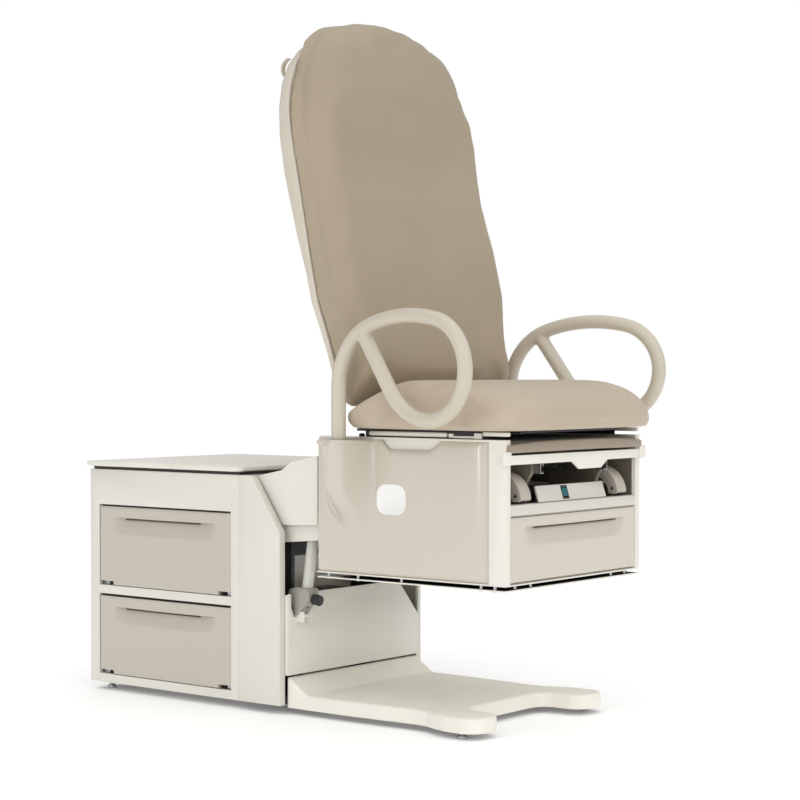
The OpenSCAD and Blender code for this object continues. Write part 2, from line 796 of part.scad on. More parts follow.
// Front rail above the drawer, and the upright dividers of the cavity over it
front_rail_d = 26;
module front_rail() {
    color(cream) box_at(-inner_half, inner_half, car_y0, car_y0 + front_rail_d, front_rail_z,
        front_rail_z + rail_h);
}
divider_half = 138;
divider_t = 12;
divider_front = 20;
divider_knee = 37;
divider_len = 170;
divider_foot = 20;
curve_low = 38;
curve_mid = 52;
curve_high = 68;
shelf_t = 3;
shelf_z = cavity_low - divider_foot - shelf_t;
divider_profile = [[car_y0 + divider_knee, cavity_low - divider_foot],
    [car_y0 + divider_knee, cavity_low + curve_low],
    [car_y0 + (divider_front + divider_knee * 2) / 3, cavity_low + curve_mid],
    [car_y0 + divider_front, cavity_low + curve_high], [car_y0 + divider_front, tray_low - bulk_t],
    [car_y0 + divider_len, tray_low - bulk_t], [car_y0 + divider_len, cavity_low - divider_foot]];
module cavity_dividers() {
    color(cream) {
        both_sides() side_plate(divider_half, divider_half + divider_t, divider_profile);
        box_at(-inner_half, inner_half, car_y0 + front_rail_d, bulk_y - bulk_t, shelf_z, shelf_z + shelf_t);
    }
}
switch_x = -28;
switch_w = 22;
switch_h = 26;
switch_low = 6;
switch_wall = 3;
switch_out = 2;
switch_pin_r = 2;
panel_tilt = 18;
panel_up = 38;
panel_depth = 6;
panel_front = 5;
panel_rise = 2;
module on_switch_panel() {
    translate([0, car_y0 + panel_front, cavity_low + panel_rise]) rotate([-panel_tilt, 0, 0]) children();
}
module switch_panel() {
    color(cream) on_switch_panel() difference() {
        box_at(-divider_half + touch_gap, divider_half - touch_gap, 0, panel_depth, 0, panel_up);
        box_at(switch_x - switch_w / 2, switch_x + switch_w / 2, -eps, panel_depth + eps,
            switch_low, switch_low + switch_h);
    }
}
module rocker_switch() {
    color(teal) on_switch_panel() {
        box_at(switch_x - switch_w / 2 + seam_gap, switch_x + switch_w / 2 - seam_gap, -switch_out,
            switch_wall,
            switch_low + switch_wall, switch_low + switch_h - switch_wall);
        cross_bar(switch_x - switch_w / 2, switch_x + switch_w / 2, switch_wall, switch_low + switch_h / 2,
            switch_pin_r);
    }
}
module carriage_shafts() {
    color(steel) for (z = [car_pivot_high, car_pivot_low])
        cross_bar(-inner_half, inner_half, car_pivot_y, z, shaft_r);
}

// Pins under the carriage, and the pan that hangs on their heads
pin_r = 4;
head_r = 6;
head_h = 1.5;
pan_t = 3;
pan_z = car_low - pan_gap - pan_t;
pin_inset = 9;
pin_runs = [35, 73, 300, 430, 521];
front_pin_x = [165, 225];
front_pin_run = 12;
pin_places = concat([for (run = pin_runs) [half_w - pin_inset, car_y0 + run]],
    [for (x = front_pin_x) [x, car_y0 + front_pin_run]]);
pan_inset = 2;
pan_slot = 22;
pan_slot_d = 56;
module pan_pins() {
    color(cream) both_sides() for (p = pin_places)
        translate([p[0], p[1], pan_z - head_h]) {
            cylinder(h = head_h, r = head_r);
            cylinder(h = car_low - pan_z + head_h, r = pin_r);
        }
}
module safety_pan() {
    color(cream) difference() {
        box_at(-half_w + eps, half_w - eps, car_y0 + pan_inset, car_y1 - pan_inset, pan_z, pan_z + pan_t);
        both_sides() for (p = pin_places)
            translate([p[0], p[1], pan_z - eps]) cylinder(h = pan_t + 2 * eps, r = pin_r + fit);
        box_at(-cheek_x - pan_slot, cheek_x + pan_slot, car_y1 - pan_slot_d, car_y1, pan_z - eps,
            pan_z + pan_t + eps);
    }
}

// Front drawer
drawer_gap = 5;
drawer_half = inner_half - drawer_gap;
drawer_rear_gap = 8;
drawer_top_gap = 10;
face_t = 13;
face_out = 1;
face_side = 2;
face_grip_inset = 30;
face_grip_low = 38;
face_grip_high = 8;
face_bow_share = 2.2;
module front_drawer_box() {
    y0 = car_y0 + face_t - face_out;
    y1 = bulk_y - drawer_rear_gap;
    z0 = car_low + floor_t + touch_gap;
    color(cream) difference() {
        box_at(-drawer_half, drawer_half, y0, y1, z0, car_low + car_front_h - drawer_top_gap);
        box_at(-drawer_half + box_wall, drawer_half - box_wall, y0 + box_wall, y1 - box_wall, z0 + box_wall,
            car_low + car_front_h);
    }
}
module front_drawer_face() {
    grip_r = cab_w * face_bow_share;
    y0 = car_y0 - face_out;
    low = face_z + car_front_h - face_grip_low;
    color(gloss_beige) difference() {
        box_at(-inner_half + face_side, inner_half - face_side, y0, y0 + face_t, face_z,
            face_z + car_front_h);
        intersection() {
            box_at(-inner_half + face_grip_inset, inner_half - face_grip_inset, y0 - eps, y0 + grip_depth,
                low, face_z + car_front_h - face_grip_high);
            translate([0, y0 + grip_depth, low + grip_r]) rotate([90, 0, 0]) grip_ring(grip_r, grip_depth);
        }
    }
}

// Stirrup rails and the heel cups at their front ends
left_stirrup_x = -186;
right_stirrup_x = 210;
stirrup_rise = 18;
stirrup_z = cavity_low + stirrup_rise;
stirrup_r = 8;
stirrup_tail = 15;
stirrup_front = 60;
fork_half_x = 5;
fork_half_z = 9;
guide_front = 86;
guide_y = car_y0 + guide_front;
cup_pin_front = 24;
cup_pin_y = car_y0 + cup_pin_front;
cup_pin_r = 4;
cup_half = 20;
cup_wall = 3;
cup_r = 66;
cup_inner_r = 40;
cup_front = 8;
cup_y = car_y0 + cup_front + cup_r;
cup_rise = 5;
cup_z = cavity_low + cup_rise;
cup_foot_r = 17;
module stirrup_rail(x) {
    long_bar(x, car_y0 + stirrup_front, bulk_y + stirrup_tail, stirrup_z, stirrup_r);
    box_at(x - fork_half_x, x + fork_half_x, cup_pin_y, car_y0 + stirrup_front + fork_half_z,
        stirrup_z - fork_half_z, stirrup_z + fork_half_z);
    cross_bar(x - fork_half_x, x + fork_half_x, cup_pin_y, stirrup_z, fork_half_z);
    cross_bar(x - cup_half, x + fork_half_x, cup_pin_y, stirrup_z, cup_pin_r);
}
// Heel cup: a quarter-round arm, open on its right side, its cheek hinged on the end of its rail
module heel_cup(x) {
    difference() {
        cross_bar(x - cup_half, x + cup_half, cup_y, cup_z, cup_r);
        cross_bar(x - cup_half + cup_wall, x + cup_half + eps, cup_y, cup_z, cup_r - cup_wall);
        cross_bar(x - cup_half - eps, x + cup_half + eps, cup_y, cup_z, cup_inner_r);
        box_at(x - cup_half - eps, x + cup_half + eps, cup_y, cup_y + cup_r + eps, cup_z - cup_r - eps,
            cup_z + cup_r + eps);
        box_at(x - cup_half - eps, x + cup_half + eps, cup_y - cup_r - eps, cup_y + eps, cup_z - cup_r - eps,
            cup_z);
        difference() {
            box_at(x - cup_half - eps, x + cup_half + eps, cup_y - cup_r - eps, cup_pin_y, cup_z - eps,
                stirrup_z);
            cross_bar(x - cup_half - 2 * eps, x + cup_half + 2 * eps, cup_pin_y, stirrup_z, cup_foot_r);
        }
        cross_bar(x - cup_half - eps, x + cup_half, cup_pin_y, stirrup_z, cup_pin_r + fit);
    }
}
module stirrup_rail_left() { color(steel) stirrup_rail(left_stirrup_x); }
module stirrup_rail_right() { color(steel) stirrup_rail(right_stirrup_x); }
module heel_cup_left() { color(cream) heel_cup(left_stirrup_x); }
module heel_cup_right() { color(cream) heel_cup(right_stirrup_x); }

// Foot extension: a sheet tray with a front lip and pull, and its pad
tray_t = 3;
tray_gap = 2;
tray_half = inner_half - tray_gap;
tray_len = 396;
lip_out = 10;
lip_t = 5.5;
lip_front = 6;
lip_h = 21;
lip_low = tray_low + tray_t - lip_h;
pull_x = 52;
pull_half = 76;
pull_foot = 46;
pull_h = 18;
module foot_tray() {
    color(cream) {
        box_at(-tray_half, tray_half, car_y0 - seam_gap, car_y0 + tray_len, tray_low, tray_low + tray_t);
        box_at(-half_w - lip_out, half_w + lip_out, car_y0 - lip_front, car_y0 - lip_front + lip_t,
            lip_low, tray_low + tray_t);
        translate([pull_x, car_y0 - lip_front + lip_t, 0]) rotate([90, 0, 0]) linear_extrude(lip_t)
            polygon([[-pull_half, lip_low + eps], [pull_half, lip_low + eps], [pull_foot, lip_low - pull_h],
                [-pull_foot, lip_low - pull_h]]);
    }
}

// A closed cushion: rings of one outline, drawn in and raised by shares, closed at both faces
function ring_faces(rings, n) = concat(
    [for (k = [0:rings - 2]) for (i = [0:n - 1]) [k * n + i, k * n + (i + 1) % n,
        (k + 1) * n + (i + 1) % n]],
    [for (k = [0:rings - 2]) for (i = [0:n - 1]) [k * n + i, (k + 1) * n + (i + 1) % n, (k + 1) * n + i]],
    [for (i = [0:n - 1]) [rings * n, (i + 1) % n, i]],
    [for (i = [0:n - 1]) [rings * n + 1, (rings - 1) * n + i, (rings - 1) * n + (i + 1) % n]]);
// How far each ring is drawn in, as a share of the edge's radius, and its share of the thickness
edge_r = 30;
cushion_rings = [[0.8, 0], [0.28, 0.03], [0.06, 0.16], [0, 0.32], [0.02, 0.5], [0.13, 0.68], [0.42, 0.84],
    [0.85, 0.93], [1.6, 0.975], [3.2, 0.995], [5.5, 1]];

round_power = 5;
function rounded(a, b, i, n) = let (t = 360 * i / n, c = cos(t), s = sin(t))
    [a * sign(c) * pow(abs(c), 2 / round_power), b * sign(s) * pow(abs(s), 2 / round_power)];

// Seat: its front falls in a waterfall and its rear slopes down under the back
seat_gap = 20;
seat_y0 = hinge_y - seat_gap - seat_len;
seat_rise = 19;
seat_z = car_high + seat_rise;
seat_ring_n = 64;
fall_len = 150;
fall_drop = 34;
slope_len = 92;
slope_drop = 62;
function seat_top(y) =
    let (front = max(0, 1 - (y - seat_y0) / fall_len),
        rear = max(0, 1 - (seat_y0 + seat_len - y) / slope_len))
    seat_t - fall_drop * front * front - slope_drop * rear * rear;
function seat_point(i, ring) =
    let (p = rounded(seat_w / 2 - ring[0] * edge_r, seat_len / 2 - ring[0] * edge_r, i, seat_ring_n),
        y = seat_y0 + seat_len / 2 + p[1])
    [p[0], y, seat_z + ring[1] * seat_top(y)];
module seat_cushion() {
    mid_y = seat_y0 + seat_len / 2;
    color(vinyl_seat) polyhedron(
        points = concat([for (ring = cushion_rings) for (i = [0:seat_ring_n - 1]) seat_point(i, ring)],
            [[0, mid_y, seat_z], [0, mid_y, seat_z + seat_t]]),
        faces = ring_faces(len(cushion_rings), seat_ring_n));
}
foot_ring_n = 40;
foot_rings = [[0.2, 0], [0, 0.2], [0, 0.7], [0.13, 0.93], [0.5, 1], [3, 1]];
foot_gap = 3;
foot_half = tray_half - foot_gap;
foot_len = 392;
foot_front = 4;
module foot_pad() {
    mid_y = car_y0 - foot_front + foot_len / 2;
    z = tray_low + tray_t;
    color(vinyl_seat) polyhedron(
        points = concat([for (ring = foot_rings) for (i = [0:foot_ring_n - 1])
            let (p = rounded(foot_half - ring[0] * edge_r, foot_len / 2 - ring[0] * edge_r, i, foot_ring_n))
            [p[0], mid_y + p[1], z + ring[1] * foot_t]],
            [[0, mid_y, z], [0, mid_y, z + foot_t]]),
        faces = ring_faces(len(foot_rings), foot_ring_n));
}

// Seat frame: plate, side rails on the carriage and the ears of the back hinge
seat_rail_inset = 16;
seat_rail_x = half_w - seat_rail_inset;
seat_rail_w = 12;
seat_rail_front = 60;
seat_rail_tail = 170;
seat_plate_t = 6;
tongue_half = 200;
tongue_front = 14;
plate_tail = 26;
ear_x = 120;
ear_t = 8;
ear_d = 42;
hinge_r = 8;
ear_r = 14;
hinge_pin_over = 6;
module seat_frame() {
    color(dark) difference() {
        union() {
            box_at(-tongue_half, tongue_half, car_y0 + tongue_front, car_y0 + seat_rail_front + eps,
                seat_z - seat_plate_t, seat_z);
            box_at(-seat_rail_x - eps, seat_rail_x + eps, car_y0 + seat_rail_front, hinge_y - plate_tail,
                seat_z - seat_plate_t, seat_z);
            both_sides() box_at(seat_rail_x, seat_rail_x + seat_rail_w, car_y0 + seat_rail_front,
                car_y1 - seat_rail_tail, car_high, seat_z);
            both_sides() {
                box_at(ear_x, ear_x + ear_t, hinge_y - ear_d, hinge_y, hinge_z - ear_r,
                    seat_z - seat_plate_t + eps);
                cross_bar(ear_x, ear_x + ear_t, hinge_y, hinge_z, ear_r);
            }
        }
        cross_bar(-half_w, half_w, hinge_y, hinge_z, hinge_r);
    }
}
module back_hinge_pin() {
    color(steel) cross_bar(-ear_x - ear_t - hinge_pin_over, ear_x + ear_t + hinge_pin_over, hinge_y,
        hinge_z, hinge_r);
}

// Frame of the back: along runs up the back from its hinge, across is positive to the front
module on_back() {
    translate([0, hinge_y, hinge_z]) rotate([-back_lean, 0, 0]) children();
}
back_w = seat_w + back_over;
shell_t = 14;
shell_y = 13;
back_up = 20;
arm_x = 98;
arm_w = 14;
arm_len = 360;
crank_r = 83;
crank_swing = 39;
crank_t = 8;
crank_pin_r = 6;
crank_half = 13;
crank_gap = 9;
arm_front = 3;
tie_low = 50;
tie_h = 28;
tie_back = 4;
knuckle_half = 20;
hub_r = 12;
crank_y = hinge_y + crank_r * sin(crank_swing);
crank_z = hinge_z - crank_r * cos(crank_swing);
module back_hinge_frame() {
    color(dark) difference() {
        union() {
            on_back() both_sides() box_at(arm_x, arm_x + arm_w, -shell_y, arm_front, 0, arm_len);
            both_sides() cross_bar(arm_x, ear_x - seam_gap, hinge_y, hinge_z, ear_r);
            on_back() box_at(-arm_x - eps, arm_x + eps, -shell_y, -tie_back, tie_low, tie_low + tie_h);
            translate([0, hinge_y, hinge_z]) rotate([crank_swing, 0, 0])
                for (x = [-crank_gap - crank_t, crank_gap]) {
                    box_at(x, x + crank_t, -crank_half, crank_half, -crank_r, 0);
                    cross_bar(x, x + crank_t, 0, -crank_r, crank_half);
                }
            translate([0, hinge_y, hinge_z]) cross_bar(-knuckle_half, knuckle_half, 0, 0, ear_r);
            cross_bar(-crank_gap - crank_t, crank_gap + crank_t, crank_y, crank_z, crank_pin_r);
            cross_bar(-arm_x - eps, arm_x + eps, hinge_y, hinge_z, hub_r);
        }
        cross_bar(-half_w, half_w, hinge_y, hinge_z, hinge_r + fit);
    }
}

// Half width of the back as shares of its full half width, and how far up its length each lies
back_shares = [[0.012, 0.76], [0.03, 0.87], [0.07, 0.905], [0.14, 0.925], [0.2, 0.955], [0.27, 0.995],
    [0.36, 1], [0.48, 0.994], [0.6, 0.99], [0.7, 0.99], [0.77, 0.965], [0.83, 0.905], [0.885, 0.8],
    [0.93, 0.655], [0.963, 0.475], [0.986, 0.26], [1, 0.0]];
back_n = len(back_shares);
function back_outline_point(i) = i < back_n ? back_shares[i]
    : [back_shares[2 * back_n - 2 - i][0], -back_shares[2 * back_n - 2 - i][1]];
back_ring_n = 2 * back_n - 1;
back_low = 18;
bevel_share = 0.052;
bevel_run_share = 0.1;
function back_point(i, ring) =
    let (p = back_outline_point(i), half = back_len / 2,
        bevel = max(0, 1 - p[0] / bevel_run_share),
        x = p[1] * (back_w / 2 - ring[0] * edge_r),
        z = half + (2 * p[0] - 1) * (half - ring[0] * edge_r) + back_low * (1 - p[0])
            + bevel * bevel * bevel_share * ring[1] * back_len)
    [x, -ring[1] * back_t, z];
module back_cushion() {
    mid = back_len / 2;
    color(vinyl_back) on_back() translate([0, -shell_y - shell_t - touch_gap, back_up]) polyhedron(
        points = concat([for (ring = cushion_rings) for (i = [0:back_ring_n - 1]) back_point(i, ring)],
            [[0, 0, mid], [0, -back_t, mid]]),
        faces = ring_faces(len(cushion_rings), back_ring_n));
}
// Back shell: thin over the hinge arms, and deeper towards the head
shell_inset = 5;
head_depth = 14;
wedge_low = 380;
wedge_high = 620;
module back_shell() {
    color(cream) on_back() difference() {
        translate([0, head_depth - shell_y, back_up]) rotate([90, 0, 0]) linear_extrude(shell_t + head_depth)
            polygon([for (i = [0:back_ring_n - 1]) let (p = back_point(i,
                [shell_inset / edge_r, 0])) [p[0], p[2]]]);
        side_plate(-back_w, back_w, [[-shell_y, -eps], [-shell_y, wedge_low],
            [head_depth - shell_y, wedge_high],
            [back_t, wedge_high], [back_t, -eps]]);
    }
}

// Strap loops for the paper roll at the head end
loop_x = 262;
loop_w = 14;
loop_r = 27;
loop_t = 3.5;
loop_up_share = 0.875;
module head_loops() {
    color(cream) on_back() both_sides()
        translate([loop_x - loop_w, head_depth - shell_y, loop_up_share * back_len + back_up])
        rotate([0, 90, 0]) difference() {
            cylinder(h = loop_w, r = loop_r);
            translate([0, 0, -eps]) cylinder(h = loop_w + 2 * eps, r = loop_r - loop_t);
            translate([-loop_r * 2, -loop_r * 2, -eps]) cube([loop_r * 4, loop_r * 2, loop_w + 2 * eps]);
        }
}

// Back motor inside the carriage, with a slotted yoke round the crank's pin
back_motor_drop = 74;
back_motor_z = hinge_z - back_motor_drop;
back_motor_r = 15;
back_rod_r = 7;
back_rod_room = 34;
back_rod_in = 50;
back_stroke = 2 * crank_r * sin(crank_swing);
back_tube_y = crank_y - back_stroke - back_rod_room;
back_tube_len = 190;
motor_end_half = 20;
motor_end_z = 17;
tube_floor = 24;
back_yoke_half = 9;
back_yoke_wall = 9;
back_yoke_z = 17;
back_yoke_over = 7;
module back_motor_body() {
    color(motor_grey) difference() {
        union() {
            long_bar(0, back_tube_y - back_tube_len, back_tube_y, back_motor_z, back_motor_r);
            box_at(-motor_end_half, motor_end_half, back_tube_y - back_tube_len - motor_end_half,
                back_tube_y - back_tube_len + motor_end_half, back_motor_z - motor_end_z,
                    back_motor_z + motor_end_z);
        }
        long_bar(0, back_tube_y - back_tube_len + tube_floor, back_tube_y + eps, back_motor_z,
            back_rod_r + fit);
    }
}
module back_motor_rod() {
    outer = back_yoke_half + back_yoke_wall;
    color(steel) {
        long_bar(0, back_tube_y - back_rod_in, crank_y - back_yoke_half - 2 * eps, back_motor_z, back_rod_r);
        difference() {
            box_at(-back_yoke_over, back_yoke_over, crank_y - outer, crank_y + outer,
                back_motor_z - back_yoke_z - back_yoke_over, back_motor_z + back_yoke_z + back_yoke_over);
            box_at(-back_yoke_over - eps, back_yoke_over + eps, crank_y - back_yoke_half,
                crank_y + back_yoke_half,
                back_motor_z - back_yoke_z, back_motor_z + back_yoke_z);
        }
    }
}

// Grab bar: a chain of arcs in one upright plane; each step is a radius and a turn, or a straight run
bar_post_top = 790;
bar_low = bush_low + 2 * bush_floor + eps;
arc_r = [150, 420, 115, 112, 150];
arc_turn = [72, 30, 78, 90, 55];
strut_len = 158;
seam_len = 4;
seam_over = 0.15;
seam_cut = 1;
function sum_to(list, i) = i < 0 ? 0 : list[i] + sum_to(list, i - 1);
function heading(i) = 90 - sum_to(arc_turn, i - 1);
function arc_start(i) = i == 0 ? [0, bar_post_top]
    : let (p = arc_start(i - 1), h0 = heading(i - 1), h1 = heading(i), r = arc_r[i - 1])
        [p[0] + r * (sin(h0) - sin(h1)), p[1] - r * (cos(h0) - cos(h1))];
module bar_arc(i) {
    p = arc_start(i);
    h = heading(i);
    r = arc_r[i];
    cut = seam_cut / r * 180 / PI;
    translate([p[0] + r * sin(h), 0, p[1] - r * cos(h)]) rotate([90, 0, 0])
        rotate([0, 0, h + 90 - arc_turn[i] + cut]) rotate_extrude(angle = arc_turn[i] - 2 * cut)
            translate([r, 0]) circle(r = bar_r);
}
module bar_seam(i) {
    p = arc_start(i);
    translate([p[0], 0, p[1]]) rotate([0, 90 - heading(i), 0])
        cylinder(h = seam_len, r = bar_r + seam_over, center = true);
}
module grab_bar() {
    last = len(arc_r);
    p = arc_start(last);
    rotate([0, 0, -90]) {
        translate([0, 0, bar_low]) cylinder(h = bar_post_top - seam_cut - bar_low, r = bar_r);
        for (i = [0:last - 1])
            bar_arc(i);
        for (i = [0:last])
            bar_seam(i);
        translate([p[0], 0, p[1]]) rotate([0, 90 - heading(last), 0]) translate([0, 0, seam_cut])
            cylinder(h = strut_len, r = bar_r);
    }
}
module grab_bar_left() {
    color(cream) translate([-bar_x, post_y, 0]) rotate([0, 0, -bar_splay]) grab_bar();
}
module grab_bar_right() {
    color(cream) translate([bar_x, post_y, 0]) rotate([0, 0, bar_splay]) grab_bar();
}

base_frame();
foot_plate();
leveling_feet();
side_frame_left();
side_frame_right();
rear_panel();
inner_partition();
cabinet_decks();
side_wall_left();
side_wall_right();
worktop();
front_cover();
drawer_runners();
control_box();
power_inlet();
pivot_shafts();
upper_drawer_box();
upper_front_left();
upper_front_right();
lower_drawer_box();
lower_front_left();
lower_front_right();
upper_link();
arm_cover();
lower_link();
lift_housing();
lift_motor_cap();
lift_tube();
lift_rod();
carriage_frame();
side_panel_left();
side_panel_right();
badge_plate();
front_rail();
cavity_dividers();
switch_panel();
rocker_switch();
carriage_shafts();
bar_bushes();
pan_pins();
safety_pan();
front_drawer_box();
front_drawer_face();
stirrup_rail_left();
stirrup_rail_right();
heel_cup_left();
heel_cup_right();
foot_tray();
foot_pad();
seat_frame();
seat_cushion();
back_hinge_frame();
back_hinge_pin();
back_shell();
back_cushion();
head_loops();
back_motor_body();
back_motor_rod();
grab_bar_left();
grab_bar_right();
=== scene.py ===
"""Finishes and modelled detail for a medical examination table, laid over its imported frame."""
import json
import math

import bmesh
import bpy
from bpy.props import FloatProperty, FloatVectorProperty, PointerProperty
from mathutils import Matrix, Vector


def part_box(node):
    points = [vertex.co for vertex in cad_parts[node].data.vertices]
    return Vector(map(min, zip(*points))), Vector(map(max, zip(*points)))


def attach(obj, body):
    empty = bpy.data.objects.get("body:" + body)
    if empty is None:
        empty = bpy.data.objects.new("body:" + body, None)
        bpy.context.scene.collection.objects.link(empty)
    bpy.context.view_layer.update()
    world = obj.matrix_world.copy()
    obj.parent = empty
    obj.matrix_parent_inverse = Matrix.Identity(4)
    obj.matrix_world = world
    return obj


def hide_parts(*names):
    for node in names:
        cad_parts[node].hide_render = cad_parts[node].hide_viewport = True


bl_info = {
    "name": "Medical examination table",
    "version": (1, 0, 0),
    "blender": (4, 5, 0),
    "location": "View3D > Sidebar > Exam Table",
    "description": "Models the cushions, panels, covers and finishes of an examination table",
    "category": "Add Mesh",
}

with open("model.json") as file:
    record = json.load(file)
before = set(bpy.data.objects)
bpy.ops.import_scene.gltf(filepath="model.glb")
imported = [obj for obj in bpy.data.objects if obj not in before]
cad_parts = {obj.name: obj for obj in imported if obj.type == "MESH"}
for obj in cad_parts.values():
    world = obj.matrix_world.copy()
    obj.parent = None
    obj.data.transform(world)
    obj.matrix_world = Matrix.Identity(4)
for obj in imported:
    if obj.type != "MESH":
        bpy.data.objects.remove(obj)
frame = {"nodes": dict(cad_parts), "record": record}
NODES = frame["nodes"]
NODE_BODY = {
    node: body
    for body, nodes in frame["record"]["behaviour"]["bodies"].items()
    for node in nodes
}
NODE_SLOT = {row["node"]: row["material_slot"] for row in frame["record"]["subparts"]}
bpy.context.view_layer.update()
FINISHES = {}

# Points closer than this are one point, and a normal this near to a direction faces that way.
WELD = 0.00002
FACING = 0.9

# The back leans on its hinge: ALONG points up its face, and ACROSS points out of it.
LEAN = math.radians(12)
ALONG = Vector((0, math.sin(LEAN), math.cos(LEAN)))
ACROSS = Vector((0, -math.cos(LEAN), math.sin(LEAN)))
HINGE = Vector((0, -0.18, 0.690))

# The right grab bar turns in its socket about an upright axis through this place.
BAR_X, BAR_Y = 0.340, -0.218


# Settings


class ExamTableColors(bpy.types.PropertyGroup):
    """Colours of the table's paints, panels and covers."""

    cream: FloatVectorProperty(name="Cream paint", description="Powder coat of the cabinet and frames",
        subtype="COLOR", size=3, min=0, max=1, default=(0.80, 0.775, 0.70))
    panel: FloatVectorProperty(name="Gloss panels", description="Moulded side panels and drawer fronts",
        subtype="COLOR", size=3, min=0, max=1, default=(0.595, 0.545, 0.46))
    # The back's vinyl is set darker than the seat's: the difference is painted shade on the back's upright
    # face.
    back_vinyl: FloatVectorProperty(name="Back vinyl", description="Cover of the back section",
        subtype="COLOR", size=3, min=0, max=1, default=(0.385, 0.314, 0.22))
    seat_vinyl: FloatVectorProperty(name="Seat vinyl", description="Cover of the seat and the foot pad",
        subtype="COLOR", size=3, min=0, max=1, default=(0.515, 0.43, 0.325))
    bar: FloatVectorProperty(name="Grab bars", description="Paint of the two grab bars",
        subtype="COLOR", size=3, min=0, max=1, default=(0.58, 0.525, 0.43))
    switch: FloatVectorProperty(name="Switch", description="Lit rocker of the power switch",
        subtype="COLOR", size=3, min=0, max=1, default=(0.005, 0.12, 0.15))


class ExamTableSizes(bpy.types.PropertyGroup):
    """Sizes of the modelled detail."""

    sheet_edge: FloatProperty(name="Sheet edge", description="Rounding of painted sheet metal edges",
        unit="LENGTH", min=0.0003, max=0.004, default=0.0012)
    panel_edge: FloatProperty(name="Panel edge", description="Rounding of the gloss side panels' borders",
        unit="LENGTH", min=0.002, max=0.01, default=0.009)
    grip_depth: FloatProperty(name="Grip depth", description="Depth of the scooped drawer grips",
        unit="LENGTH", min=0.002, max=0.011, default=0.009)
    bar_radius: FloatProperty(name="Bar radius", description="Radius of the grab bar tube",
        unit="LENGTH", min=0.012, max=0.02, default=0.0176)
    puff: FloatProperty(name="Cushion rise", description="How far the padding may swell under its cover",
        unit="LENGTH", min=0.0, max=0.03, default=0.022)


def colors():
    return bpy.context.scene.exam_table_colors


def sizes():
    return bpy.context.scene.exam_table_sizes


# Finishes


class Graph:
    """A material's node tree with short calls for the nodes that every finish uses."""

    def __init__(self, name):
        self.name = name
        self.material = bpy.data.materials.new(name)
        self.material.use_nodes = True
        self.tree = self.material.node_tree
        self.shader = self.tree.nodes["Principled BSDF"]
        self.place = self.add("ShaderNodeTexCoord").outputs["Object"]

    def add(self, kind, inputs=None, **values):
        made = self.tree.nodes.new(kind)
        for key, value in values.items():
            setattr(made, key, value)
        for key, value in (inputs or {}).items():
            made.inputs[key].default_value = value
        return made

    def link(self, source, target):
        self.tree.links.new(source, target)

    def stretched(self, scale):
        mapping = self.add("ShaderNodeMapping", {"Scale": scale})
        self.link(self.place, mapping.inputs["Vector"])
        return mapping.outputs["Vector"]

    def cloud(self, scale, detail=3.0, vector=None):
        made = self.add("ShaderNodeTexNoise", {"Scale": scale, "Detail": detail})
        self.link(vector or self.place, made.inputs["Vector"])
        return made.outputs["Fac"]

    def ramp(self, value, low, high, from_low=0.3, from_high=0.7):
        made = self.add("ShaderNodeMapRange", {"From Min": from_low, "From Max": from_high, "To Min": low,
            "To Max": high})
        self.link(value, made.inputs["Value"])
        return made.outputs["Result"]

    def mixed(self, value, first, second):
        """Mixes two colours, the first of which may be a socket."""
        made = self.add("ShaderNodeMix", data_type="RGBA")
        self.link(value, made.inputs["Factor"])
        for socket, color in ((made.inputs[6], first), (made.inputs[7], second)):
            if hasattr(color, "links"):
                self.link(color, socket)
            else:
                socket.default_value = (*color, 1)
        return made.outputs[2]

    def tone(self, value, color, dark, light):
        return self.mixed(value, shade(color, dark), shade(color, light))

    def bump(self, height, strength, distance, onto=None):
        made = self.add("ShaderNodeBump", {"Strength": strength, "Distance": distance})
        self.link(height, made.inputs["Height"])
        if onto:
            self.link(onto, made.inputs["Normal"])
        return made.outputs["Normal"]

    def finish(self, color, roughness, normal, **sockets):
        """Joins the last sockets to the shader and files the finish under its name."""
        self.link(color, self.shader.inputs["Base Color"])
        self.link(roughness, self.shader.inputs["Roughness"])
        self.link(normal, self.shader.inputs["Normal"])
        for name, value in sockets.items():
            self.shader.inputs[name.replace("_", " ")].default_value = value
        FINISHES[self.name] = self.material


def shade(color, factor):
    return tuple(min(1.0, channel * factor) for channel in color)


def painted(name, color, roughness=0.42, grain=1400, strength=0.10):
    """Powder coat: fine orange peel, faint clouding and a slightly uneven gloss."""
    g = Graph(name)
    tone = g.tone(g.ramp(g.cloud(5.0, detail=4), 0, 1), color, dark=0.975, light=1.015)
    handling = g.ramp(g.cloud(38.0, detail=5), roughness - 0.05, roughness + 0.06)
    peel = g.bump(g.cloud(grain, detail=2), strength, distance=0.0006)
    waves = g.bump(g.cloud(60.0, detail=1), strength=0.02, distance=0.002, onto=peel)
    g.finish(tone, handling, waves, Coat_Weight=0.08)


def gloss_moulding(name, color):
    """Glossy thermoformed sheet: deep colour under a clear skin that is a little wavy."""
    g = Graph(name)
    tone = g.tone(g.cloud(3.2), color, dark=0.985, light=1.01)
    polish = g.ramp(g.cloud(9.0), low=0.19, high=0.25, from_low=0.0, from_high=1.0)
    skin = g.bump(g.cloud(3.5, detail=1), strength=0.10, distance=0.004)
    g.finish(tone, polish, skin, Coat_Weight=0.8, Coat_Roughness=0.09, IOR=1.5)


